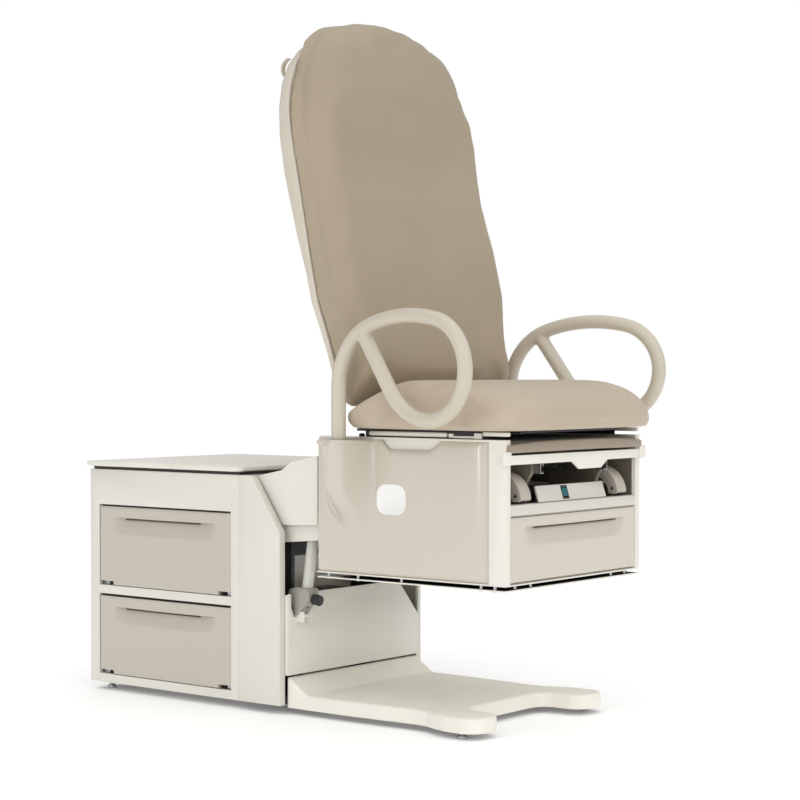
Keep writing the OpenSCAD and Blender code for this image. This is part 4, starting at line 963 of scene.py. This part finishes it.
class EXAM_OT_worktop(bpy.types.Operator):
    """Models the worktop with rounded corners and edges, and the black band under it that paints the shadow
    line beneath its edge
    """

    bl_idname = "exam.worktop"
    bl_label = "Worktop"

    def execute(self, context):
        low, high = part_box("worktop")
        front_in, side_in, shadow_band_high, slab_up, near = 0.008, 0.021, 0.010, 0.0085, 0.0001
        # A black band set in under the slab: painted shadow beneath the worktop's edge.
        shadow_band = soft_block("worktop_spacer", (low.x + side_in, low.y + front_in, low.z),
            (high.x - side_in, high.y - side_in, low.z + shadow_band_high), sizes().sheet_edge)
        keep(shadow_band, "base", "black_plastic", "worktop")
        low = Vector((low.x, low.y, low.z + slab_up))
        top = block("worktop_slab", low, high)
        bevelled(top, lambda a, b: abs(a.z - b.z) > 0.01, offset=0.028, segments=8)
        bevelled(top, lambda a, b: min(a.z, b.z) > high.z - near, offset=0.006, segments=4)
        bevelled(top, lambda a, b: max(a.z, b.z) < low.z + near, offset=0.003, segments=3)
        keep(top, "base", "worktop_laminate", "worktop")
        return {"FINISHED"}


class EXAM_OT_arm_cover(bpy.types.Operator):
    """Models the bent sheet cover over the lift arm, open below and at both ends"""

    bl_idname = "exam.arm_cover"
    bl_label = "Arm cover"

    def execute(self, context):
        low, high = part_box("arm_cover")
        pivot_y, pivot_z = 0.113, 0.548
        front, rear, sheet = -0.184, 0.016, 0.0028
        corners = [(rear, 0.024), (-0.070, 0.042), (-0.097, 0.062), (front, 0.080), (front, -0.087),
            (-0.074, -0.092), (rear, -0.050)]
        outline = filleted([(pivot_y + y, pivot_z + z) for y, z in corners],
            [0.004, 0.03, 0.03, 0.006, 0.004, 0.02, 0.01])
        cover = prism("arm_cover_sheet", [(low.x, y, z) for y, z in outline], (high.x - low.x, 0, 0))
        round_edges(cover, 0.005, segments=4, angle=25)
        opened(cover, lambda c, n: n.z < -0.5 or (n.y < -FACING and c.y < pivot_y - 0.18)
            or (n.y > FACING and c.y > pivot_y + 0.01))
        thickened(cover, sheet)
        keep(cover, "upper_arm", "cream_paint", "arm_cover")
        return {"FINISHED"}


def foot_plate_outline():
    """Half of the plate's outline from the walls to the middle of the arch, in (X, Y)."""
    wall, tip, arch = 0.025, -0.560, -0.440
    half, waist, flare, toe, toe_wide = 0.251, 0.239, 0.271, 0.045, 0.112
    side = [(half, wall), (half, wall - 0.10), (half, -0.139), (0.2455, -0.26), (waist, -0.361),
        (0.243, -0.400), (0.2555, -0.425), (flare - 0.003, -0.465), (flare, -0.49)]
    outer = arc(flare - toe, tip + toe, toe, start=0, end=-90)
    inner = arc(flare - toe_wide + toe, tip + toe, toe, start=-90, end=-180)
    arch_end = arc(flare - toe_wide - toe, arch - toe, toe, start=0, end=90)
    return side + outer + inner + arch_end


class EXAM_OT_foot_plate(bpy.types.Operator):
    """Models the foot plate: ramp, flat shell and two rounded toes"""

    bl_idname = "exam.foot_plate"
    bl_label = "Foot plate"

    def execute(self, context):
        low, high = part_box("foot_plate")
        flat, ramp_foot, ramp_run, sheet = 0.039, -0.037, 0.062, 0.0028
        right = foot_plate_outline()
        outline = right + [(-x, y) for x, y in reversed(right)]
        plate = prism("foot_plate_shell", [(x, y, low.z) for x, y in outline], (0, 0, flat))
        sliced(plate, [(0, y, 0) for y in (ramp_foot, -0.30)], (0, 1, 0))

        def ramped(c):
            """Raises the top behind the ramp's foot."""
            if c.z > low.z + 0.01 and c.y > ramp_foot:
                c.z += (high.z - low.z - flat) * (c.y - ramp_foot) / ramp_run
            return c

        points(plate, ramped)
        outward(plate)
        remeshed(plate, voxel=0.004, smoothing=14)
        opened(plate, lambda c, n: c.z < low.z + 0.004 and n.z < -0.3)
        modify(plate, "DECIMATE", ratio=0.5)
        thickened(plate, sheet)
        # The plate takes the lighter copy of the cream paint, as painted light.
        keep(plate, "base", "cream_paint", "foot_plate", angle=50, finish="plate_paint")
        return {"FINISHED"}


# Grab bars


def bar_path():
    """Points of the loop and of its strut in the bar's own plane: forward, up."""
    post_low, post_top, post_steps = 0.571, 0.790, 20
    strut, strut_steps, step = 0.158, 16, 0.007
    run = [(0.0, post_low + (post_top - post_low) * i / post_steps) for i in range(post_steps + 1)]
    s, z, heading = 0.0, post_top, 90.0
    for radius, turn in ((0.150, 72), (0.420, 30), (0.115, 78), (0.112, 90), (0.150, 55)):
        steps = max(6, int(radius * math.radians(turn) / step))
        side = math.radians(heading)
        run += arc(s + radius * math.sin(side), z - radius * math.cos(side), radius, heading + 90,
            heading + 90 - turn, steps)[1:]
        s, z = run[-1]
        heading -= turn
    a = math.radians(heading)
    shares = [i / strut_steps for i in range(1, strut_steps + 1)]
    return run + [(s + strut * f * math.cos(a), z + strut * f * math.sin(a)) for f in shares]


class EXAM_OT_grab_bars(bpy.types.Operator):
    """Models the two looped grab bars, their strut blended into the loop"""

    bl_idname = "exam.grab_bars"
    bl_label = "Grab bars"

    def execute(self, context):
        splay = math.radians(8)
        curve = bpy.data.curves.new("bar_run", "CURVE")
        curve.dimensions = "3D"
        curve.bevel_depth = sizes().bar_radius
        curve.bevel_resolution = 5
        curve.use_fill_caps = True
        run = bar_path()
        spline = curve.splines.new("POLY")
        spline.points.add(len(run) - 1)
        for point, (s, z) in zip(spline.points, run):
            point.co = (BAR_X + s * math.sin(splay), BAR_Y - s * math.cos(splay), z, 1)
        tube = alone(linked("grab_bar_right_tube", curve))
        bpy.ops.object.convert(target="MESH")
        outward(tube)
        remeshed(tube, voxel=0.0035, smoothing=10)
        keep_pair(tube, "right_bar", "bar_paint", "grab_bar_right", smooth=True)
        return {"FINISHED"}


# Small parts


class EXAM_OT_power_switch(bpy.types.Operator):
    """Models the rocker switch in its black bezel"""

    bl_idname = "exam.power_switch"
    bl_label = "Power switch"

    def execute(self, context):
        low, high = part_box("rocker_switch")
        middle, turn = (low + high) / 2, Matrix.Rotation(math.radians(-18), 4, "X")
        key_wide, key_high, key_out, rear = 0.0100, 0.0098, 0.004, 0.003
        peak, bezel_wide, bezel_high, bezel_out = 0.0025, 0.0135, 0.0165, 0.0012
        seat = Vector((0, 0.0005, 0))
        key = block("rocker_key", (-key_wide, -key_out, -key_high), (key_wide, rear, key_high))
        sliced(key, [(0, 0, 0)], (0, 0, 1))
        points(key, lambda c: Vector((c.x, c.y + (peak if c.y < 0 and abs(c.z) < 0.001 else 0), c.z)))
        round_edges(key, 0.0008, segments=3, angle=20)
        bezel = block("switch_bezel", (-bezel_wide, -bezel_out, -bezel_high), (bezel_wide, rear, bezel_high))
        stepped(bezel, (0, -1, 0), inset=0.0032, rise=-0.0035)
        round_edges(bezel, 0.0006)
        for obj in (key, bezel):
            points(obj, lambda c: middle + turn @ (c + seat))
        keep(key, "switch", "teal_plastic", "rocker_switch")
        keep(bezel, "carriage", "black_plastic")
        return {"FINISHED"}


class EXAM_OT_leveling_feet(bpy.types.Operator):
    """Models the levelling feet: disc, threaded stem and lock nut"""

    bl_idname = "exam.leveling_feet"
    bl_label = "Levelling feet"

    def foot(self, place):
        """Models one foot at a place on the floor."""
        pitch, bite = 0.0032, 0.07

        def turned(name, low, high, radius, sides):
            return rod(name, place + Vector((0, 0, low)), place + Vector((0, 0, high)), radius, sides)

        def threaded(c):
            wave = 1 + bite * math.sin(c.z * 2 * math.pi / pitch)
            return place + Vector(((c.x - place.x) * wave, (c.y - place.y) * wave, c.z))

        disc = turned("foot_disc", 0, 0.006, 0.0125, 40)
        stepped(disc, (0, 0, 1), inset=0.003, rise=0.002)
        round_edges(disc, 0.0009)
        nut = turned("foot_nut", 0.0095, 0.0155, 0.0085, 6)
        round_edges(nut, 0.0006)
        stem = turned("foot_stem", 0.004, 0.038, 0.0045, 24)
        pick(stem, lambda c, n: abs(n.z) < 0.5)
        bpy.ops.mesh.subdivide(number_cuts=20)
        done()
        points(stem, threaded)
        return [disc, nut, stem]

    def execute(self, context):
        places = [Vector((side * x, y, 0)) for side in (-1, 1) for x, y in ((0.246, -0.505), (0.236, 0.652))]
        feet = joined("leveling_feet_turned", sum((self.foot(place) for place in places), []))
        keep(feet, "base", "steel", "leveling_feet")
        return {"FINISHED"}


class EXAM_OT_head_loops(bpy.types.Operator):
    """Models the strap loops behind the head end with their end tabs"""

    bl_idname = "exam.head_loops"
    bl_label = "Strap loops"

    def execute(self, context):
        strap = copy_of("head_loops", "head_loop_straps")
        round_edges(strap, 0.0010, segments=3, angle=50)
        keep(strap, "back", "shell_plastic", "head_loops")
        return {"FINISHED"}


class EXAM_OT_badge(bpy.types.Operator):
    """Models the bare badge plate on the left side panel"""

    bl_idname = "exam.badge"
    bl_label = "Badge plate"

    def execute(self, context):
        badge = copy_of("badge_plate", "badge_blank")
        stepped(badge, (-1, 0, 0), inset=0.0022, rise=-0.0006)
        round_edges(badge, 0.0003)
        keep(badge, "carriage", "badge_white", "badge_plate")
        return {"FINISHED"}


class EXAM_OT_fixings(bpy.types.Operator):
    """Adds the button-head screws of the rear panel"""

    bl_idname = "exam.fixings"
    bl_label = "Fixings"

    def execute(self, context):
        rear, radius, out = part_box("rear_panel")[1].y, 0.005, Vector((0, 1, 0))
        outer, inner = (-0.245, 0.245), (-0.085, 0.085)
        places = [(x, rear, z) for x in (outer[0], *inner, outer[1]) for z in (0.04, 0.555)]
        places += [(x, rear, z) for x in outer for z in (0.21, 0.385)]
        heads = []
        for i, place in enumerate(places):
            head = rod(f"rear_screws_{i}", place, Vector(place) + out * radius * 0.5, radius, 24)
            stepped(head, out, inset=radius * 0.45, rise=-radius * 0.35)
            heads.append(round_edges(head, radius * 0.18, angle=50))
        keep(joined("rear_screws", heads), "base", "steel")
        return {"FINISHED"}


class EXAM_OT_seat_rails(bpy.types.Operator):
    """Parts the seat frame into its dark plate and the two round-ended cream side rails"""

    bl_idname = "exam.seat_rails"
    bl_label = "Seat frame"

    def execute(self, context):
        seam, out, low, high = 0.2595, 0.2710, 0.6800, 0.6910
        knob_y, edge = -0.2260, sizes().sheet_edge
        plate = copy_of("seat_frame", "seat_frame_plate")
        for side in (-1, 1):
            cut(plate, (side * seam, 0, 0), (side, 0, 0))
        round_edges(plate, edge)
        keep(plate, "carriage", "dark_frame", "seat_frame")
        trims = [soft_block("rail", (seam, -0.4790, low), (out, -0.2500, high), radius=0.0046, segments=4,
            angle=50)]
        for name, front, rear, foot, top in (
                ("latch", -0.4965, -0.4830, low, low + 0.009),
                ("link", -0.5560, -0.4955, low - 0.001, low + 0.004),
                ("catch", -0.5760, -0.5545, low - 0.002, high),
                ("nosing", -0.6480, -0.5790, low + 0.005, high + 0.003)):
            trims.append(soft_block(name, (seam, front, foot), (out - 0.001, rear, top), edge))
        stop = soft_block("stop", (seam, -0.5785, low - 0.0035), (out - 0.004, -0.2380, high + 0.0045), edge)
        knob = rod("knob", (seam, knob_y, low), (out, knob_y, low), 0.0050, 32)
        round_edges(knob, 0.001, segments=3)
        keep_pair(joined("seat_rail_right", trims), "carriage", "cream_paint", "seat_frame")
        keep_pair(joined("rail_stop_right", [stop, knob]), "carriage", "black_plastic", "seat_frame")
        return {"FINISHED"}


class EXAM_OT_tray_trim(bpy.types.Operator):
    """Adds the foot tray's channel runners and the rounded caps on its lip"""

    bl_idname = "exam.tray_trim"
    bl_label = "Tray trim"

    def execute(self, context):
        low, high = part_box("foot_tray")
        wall, wide, sheet, hook, shelf = 0.1370, 0.0115, 0.0016, 0.0045, 0.021
        bottom, top, front, rear = 0.5980, high.z - 0.003, low.y + 0.009, -0.372
        inner, hook_in = wall - sheet, wall - wide + sheet
        lips = [(wall - wide, 0), (wall - wide, hook), (hook_in, hook), (hook_in, sheet), (inner, sheet),
            (inner, shelf), (hook_in, shelf), (hook_in, shelf - hook), (wall - wide, shelf - hook),
            (wall - wide, shelf + sheet), (inner, shelf + sheet)]
        outline = [(wall, bottom)] + [(x, bottom + z) for x, z in lips] + [(inner, top), (wall, top)]
        runner = prism("tray_runner_right", [(x, front, z) for x, z in outline], (0, rear - front, 0))
        round_edges(runner, 0.0003, segments=1, angle=50)
        keep_pair(runner, "foot_extension", "steel")
        cap = block("lip_cap_right", (0.2640, low.y - 0.0026, 0.6206),
            (high.x + 0.005, low.y + 0.0052, 0.6515))
        bevelled(cap, lambda a, b: abs(a.y - b.y) > 0.004, offset=0.0045, segments=4)
        round_edges(cap, 0.001, segments=3)
        keep_pair(cap, "foot_extension", "cream_paint")
        return {"FINISHED"}


class EXAM_OT_painted_shade_sheets(bpy.types.Operator):
    """Lays black sheets in the gap over the safety pan and under the carriage, and dark sheets on the stirrup
    cavity's side walls: painted shade in the gap and in the cavity
    """

    bl_idname = "exam.linings"
    bl_label = "Painted shade sheets"

    def execute(self, context):
        low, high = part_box("safety_pan")
        margin, rear_margin, shade_film, shade_layer, wall = 0.005, 0.060, 0.0008, 0.0006, 0.2570
        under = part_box("carriage_frame")[0].z
        # Black sheets on the pan's top and under the carriage: painted shade in the gap between them.
        for name, body, foot in (("pan_mat", "pan", high.z), ("carriage_under_mat", "carriage", under - shade_film)):
            piece = soft_block(name, (low.x + margin, low.y + margin, foot),
                (high.x - margin, high.y - rear_margin, foot + shade_film), radius=0.0002, segments=1, angle=50)
            keep(piece, body, "black_plastic", finish="black_seal")
        # Dark sheets on the cavity's side walls: painted shade inside the stirrup cavity.
        right = soft_block("cavity_lining_right", (wall - shade_layer, -0.6360, 0.5130), (wall, -0.3420, 0.6260),
            radius=0.0002, segments=1, angle=50)
        keep_pair(right, "carriage", "cream_paint", finish="shade_paint")
        return {"FINISHED"}


class EXAM_OT_lift_shield(bpy.types.Operator):
    """Models the pointed lower housing of the lift motor and closes the cover's edges round it"""

    bl_idname = "exam.lift_shield"
    bl_label = "Lift motor housing"

    def execute(self, context):
        low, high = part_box("lift_housing")
        corners = [(-0.024, 0.304), (-0.027, 0.275), (-0.012, 0.262), (0.012, 0.237), (0.020, 0.237),
            (0.041, 0.288), (0.036, 0.300), (0.014, 0.306)]
        outline = filleted(corners, [0.006, 0.008, 0.02, 0.004, 0.004, 0.008, 0.006, 0.01])
        shield = prism("lift_shield", [(low.x, y, z) for y, z in outline], (high.x - low.x, 0, 0))
        round_edges(shield, 0.004, segments=3, angle=30)
        combined(shield, rod("rod_bore", (-0.208, 0.0023, 0.255), (-0.208, -0.0094, 0.330), 0.0095, 40))
        keep(shield, "lift_body", "motor_plastic", "lift_housing")
        filler = soft_block("cover_filler", (-0.236, 0.0175, 0.2140), (-0.180, 0.0375, 0.2330), 0.0008)
        keep(filler, "base", "cream_paint", "front_cover")
        edging = soft_block("cover_edging_right", (0.2535, 0.0172, 0.0940), (0.2568, 0.0246, 0.2880), 0.0008)
        keep_pair(edging, "base", "cream_paint", "front_cover")
        return {"FINISHED"}


# Frame parts whose CAD shape is right: nodes, edge rounding (None is the sheet edge), segments, finish.
EASED = (
    (("front_cover", "carriage_frame", "foot_tray", "safety_pan", "lift_rod", "power_inlet", "control_box"),
        None, 2, None),
    # The cabinet's sides, rear panel and walls take a darker copy of the cream paint, as painted shade.
    (("side_frame_left", "side_frame_right", "rear_panel", "side_wall_left", "side_wall_right"),
        None, 2, "cabinet_paint"),
    # The front rail and switch panel take a darker copy of the cream paint, as painted shade.
    (("front_rail", "switch_panel"), None, 2, "dim_paint"),
    (("heel_cup_left", "heel_cup_right"), 0.0022, 3, "cup_plastic"),
    # The dividers take the dark taupe, partly their own colour and partly painted shade in the cavity.
    (("cavity_dividers",), 0.0006, 2, "shade_paint"),
    (("lift_tube",), None, 2, "tube_paint"),
    (("lift_motor_cap",), 0.002, 3, None),
    (("bar_bushes",), 0.0012, 3, None),
)


class EXAM_OT_frame_finish(bpy.types.Operator):
    """Eases the edges of the frame's plain parts and gives every part its finish"""

    bl_idname = "exam.frame_finish"
    bl_label = "Frame parts"

    def back_shell(self):
        """Models the back's shell, its rear bowed outwards between the head and the hinge."""
        bow, spacing = 0.011, 0.08

        def bowed(c):
            up, front = on_back(c)
            share = smoothstep(0.12, 0.40, up) * (1 - smoothstep(0.62, 0.86, up))
            return c - ACROSS * bow * share * (1 - smoothstep(0.004, 0.022, front))

        shell = copy_of("back_shell", "back_shell_bowed")
        sliced(shell, [HINGE + ALONG * spacing * i for i in range(2, 11)], ALONG)
        points(shell, bowed)
        round_edges(shell, 0.004, segments=3)
        keep(shell, "back", "shell_plastic", "back_shell")

    def base_frame(self):
        """Parts the base frame into its dark body and the cream lugs that hold the lift motor."""
        low, high = (-0.2248, -0.0220, 0.2120), (-0.1912, 0.0395, 0.2480)
        for name, operation, finish in (("base_frame_body", "DIFFERENCE", None),
                ("lift_lugs", "INTERSECT", "cream_paint")):
            part = combined(copy_of("base_frame", name), block("lug_reach", low, high), operation)
            keep(part, "base", NODE_SLOT["base_frame"], "base_frame", finish=finish)

    def execute(self, context):
        for nodes, width, segments, finish in EASED:
            for node in nodes:
                eased(node, width or sizes().sheet_edge, segments, finish)
        self.back_shell()
        self.base_frame()
        for node, obj in NODES.items():
            if not obj.hide_render:
                obj.data.materials.clear()
                obj.data.materials.append(FINISHES[NODE_SLOT[node]])
                for poly in obj.data.polygons:
                    poly.use_smooth = False
        return {"FINISHED"}


# Stage


# Name, place, size in metres and power in watts
LIGHTS = (
    ("key_light", (-1.6, -5.0, 1.9), (1.6, 1.6), 7),
    ("side_light", (-4.8, 0.2, 1.8), (1.1, 1.6), 17),
    ("rim_light", (2.4, 3.6, 2.8), (2.0, 2.0), 10),
    ("front_strip", (-2.3, -4.6, 1.1), (0.12, 1.6), 9),
    ("rear_strip", (-4.6, 1.6, 1.1), (0.12, 1.6), 7),
)
LIGHTS_AIM = Vector((0, -0.1, 0.7))
OVERHEAD_STRENGTH = 1.95
OVERHEAD_SPREAD = 120
OVERHEAD_TILT = (20, -10, 0)
AMBIENT = 0.37
FLOOR_GLOW = 0.13
FLOOR_SIZE = 60
WHITE = (1, 1, 1, 1)
CAMERA_PLACE = (-3.853, -3.2254, 0.8267)
CAMERA_TURN = (89.21, 0, -51.19)
CAMERA_LENS, CAMERA_SENSOR = 90.214, 36


def staged(data, place, turn):
    """Puts a light or a camera at its place, turned by angles in degrees."""
    obj = linked(data.name, data)
    obj.location = place
    obj.rotation_euler = [math.radians(angle) for angle in turn]
    return obj


def studio_world():
    """A white sweep for the camera that lights the object more softly than it looks."""
    world = bpy.data.worlds.new("studio")
    world.use_nodes = True
    tree = world.node_tree
    background = tree.nodes["Background"]
    background.inputs["Color"].default_value = WHITE
    path = tree.nodes.new("ShaderNodeLightPath")
    strength = tree.nodes.new("ShaderNodeMapRange")
    strength.inputs["To Min"].default_value = AMBIENT
    strength.inputs["To Max"].default_value = 1.0
    tree.links.new(path.outputs["Is Camera Ray"], strength.inputs["Value"])
    tree.links.new(strength.outputs["Result"], background.inputs["Strength"])
    return world


class EXAM_OT_stage(bpy.types.Operator):
    """Adds the pale floor, the soft studio lights and the camera"""

    bl_idname = "exam.stage"
    bl_label = "Stage"

    def execute(self, context):
        nothing()
        bpy.ops.mesh.primitive_plane_add(size=FLOOR_SIZE, location=(0, 0, 0))
        floor = named("studio_floor")
        finish = FINISHES["floor_finish"]
        floor.data.materials.append(finish)
        shader = finish.node_tree.nodes["Principled BSDF"]
        shader.inputs["Emission Color"].default_value = WHITE
        shader.inputs["Emission Strength"].default_value = FLOOR_GLOW
        context.scene.world = studio_world()
        overhead = bpy.data.lights.new("overhead_light", "SUN")
        overhead.energy = OVERHEAD_STRENGTH
        overhead.angle = math.radians(OVERHEAD_SPREAD)
        staged(overhead, (0, 0, 5), OVERHEAD_TILT)
        for name, place, size, power in LIGHTS:
            panel = bpy.data.lights.new(name, "AREA")
            panel.shape = "RECTANGLE"
            panel.size, panel.size_y = size
            panel.energy = power
            turn = (LIGHTS_AIM - Vector(place)).to_track_quat("-Z", "Y").to_euler()
            staged(panel, place, [math.degrees(angle) for angle in turn])
        lens = bpy.data.cameras.new("photo_camera")
        lens.lens = CAMERA_LENS
        lens.sensor_width = CAMERA_SENSOR
        context.scene.camera = staged(lens, CAMERA_PLACE, CAMERA_TURN)
        context.scene.view_settings.view_transform = "Standard"
        return {"FINISHED"}


class EXAM_PT_panel(bpy.types.Panel):
    """Lists the table's settings and the steps that build it"""

    bl_idname = "EXAM_PT_panel"
    bl_label = "Exam Table"
    bl_space_type = "VIEW_3D"
    bl_region_type = "UI"
    bl_category = "Exam Table"

    def draw(self, context):
        for group in (context.scene.exam_table_colors, context.scene.exam_table_sizes):
            for name in group.__annotations__:
                self.layout.prop(group, name)
        for step in STEPS:
            self.layout.operator(step.bl_idname)


STEPS = (
    EXAM_OT_stage,
    EXAM_OT_seat_pad,
    EXAM_OT_back_pad,
    EXAM_OT_foot_pad,
    EXAM_OT_side_panels,
    EXAM_OT_drawer_fronts,
    EXAM_OT_worktop,
    EXAM_OT_arm_cover,
    EXAM_OT_foot_plate,
    EXAM_OT_grab_bars,
    EXAM_OT_power_switch,
    EXAM_OT_leveling_feet,
    EXAM_OT_head_loops,
    EXAM_OT_badge,
    EXAM_OT_fixings,
    EXAM_OT_seat_rails,
    EXAM_OT_tray_trim,
    EXAM_OT_painted_shade_sheets,
    EXAM_OT_lift_shield,
    EXAM_OT_frame_finish,
)
CLASSES = (ExamTableColors, ExamTableSizes, *STEPS, EXAM_PT_panel)


def register():
    for cls in CLASSES:
        bpy.utils.register_class(cls)
    bpy.types.Scene.exam_table_colors = PointerProperty(type=ExamTableColors)
    bpy.types.Scene.exam_table_sizes = PointerProperty(type=ExamTableSizes)


def unregister():
    del bpy.types.Scene.exam_table_colors
    del bpy.types.Scene.exam_table_sizes
    for cls in reversed(CLASSES):
        bpy.utils.unregister_class(cls)


def main():
    register()
    make_finishes()
    for step in STEPS:
        group, name = step.bl_idname.split(".")
        getattr(getattr(bpy.ops, group), name)()
    nothing()
    bpy.context.view_layer.update()


if __name__ == "__main__":
    main()
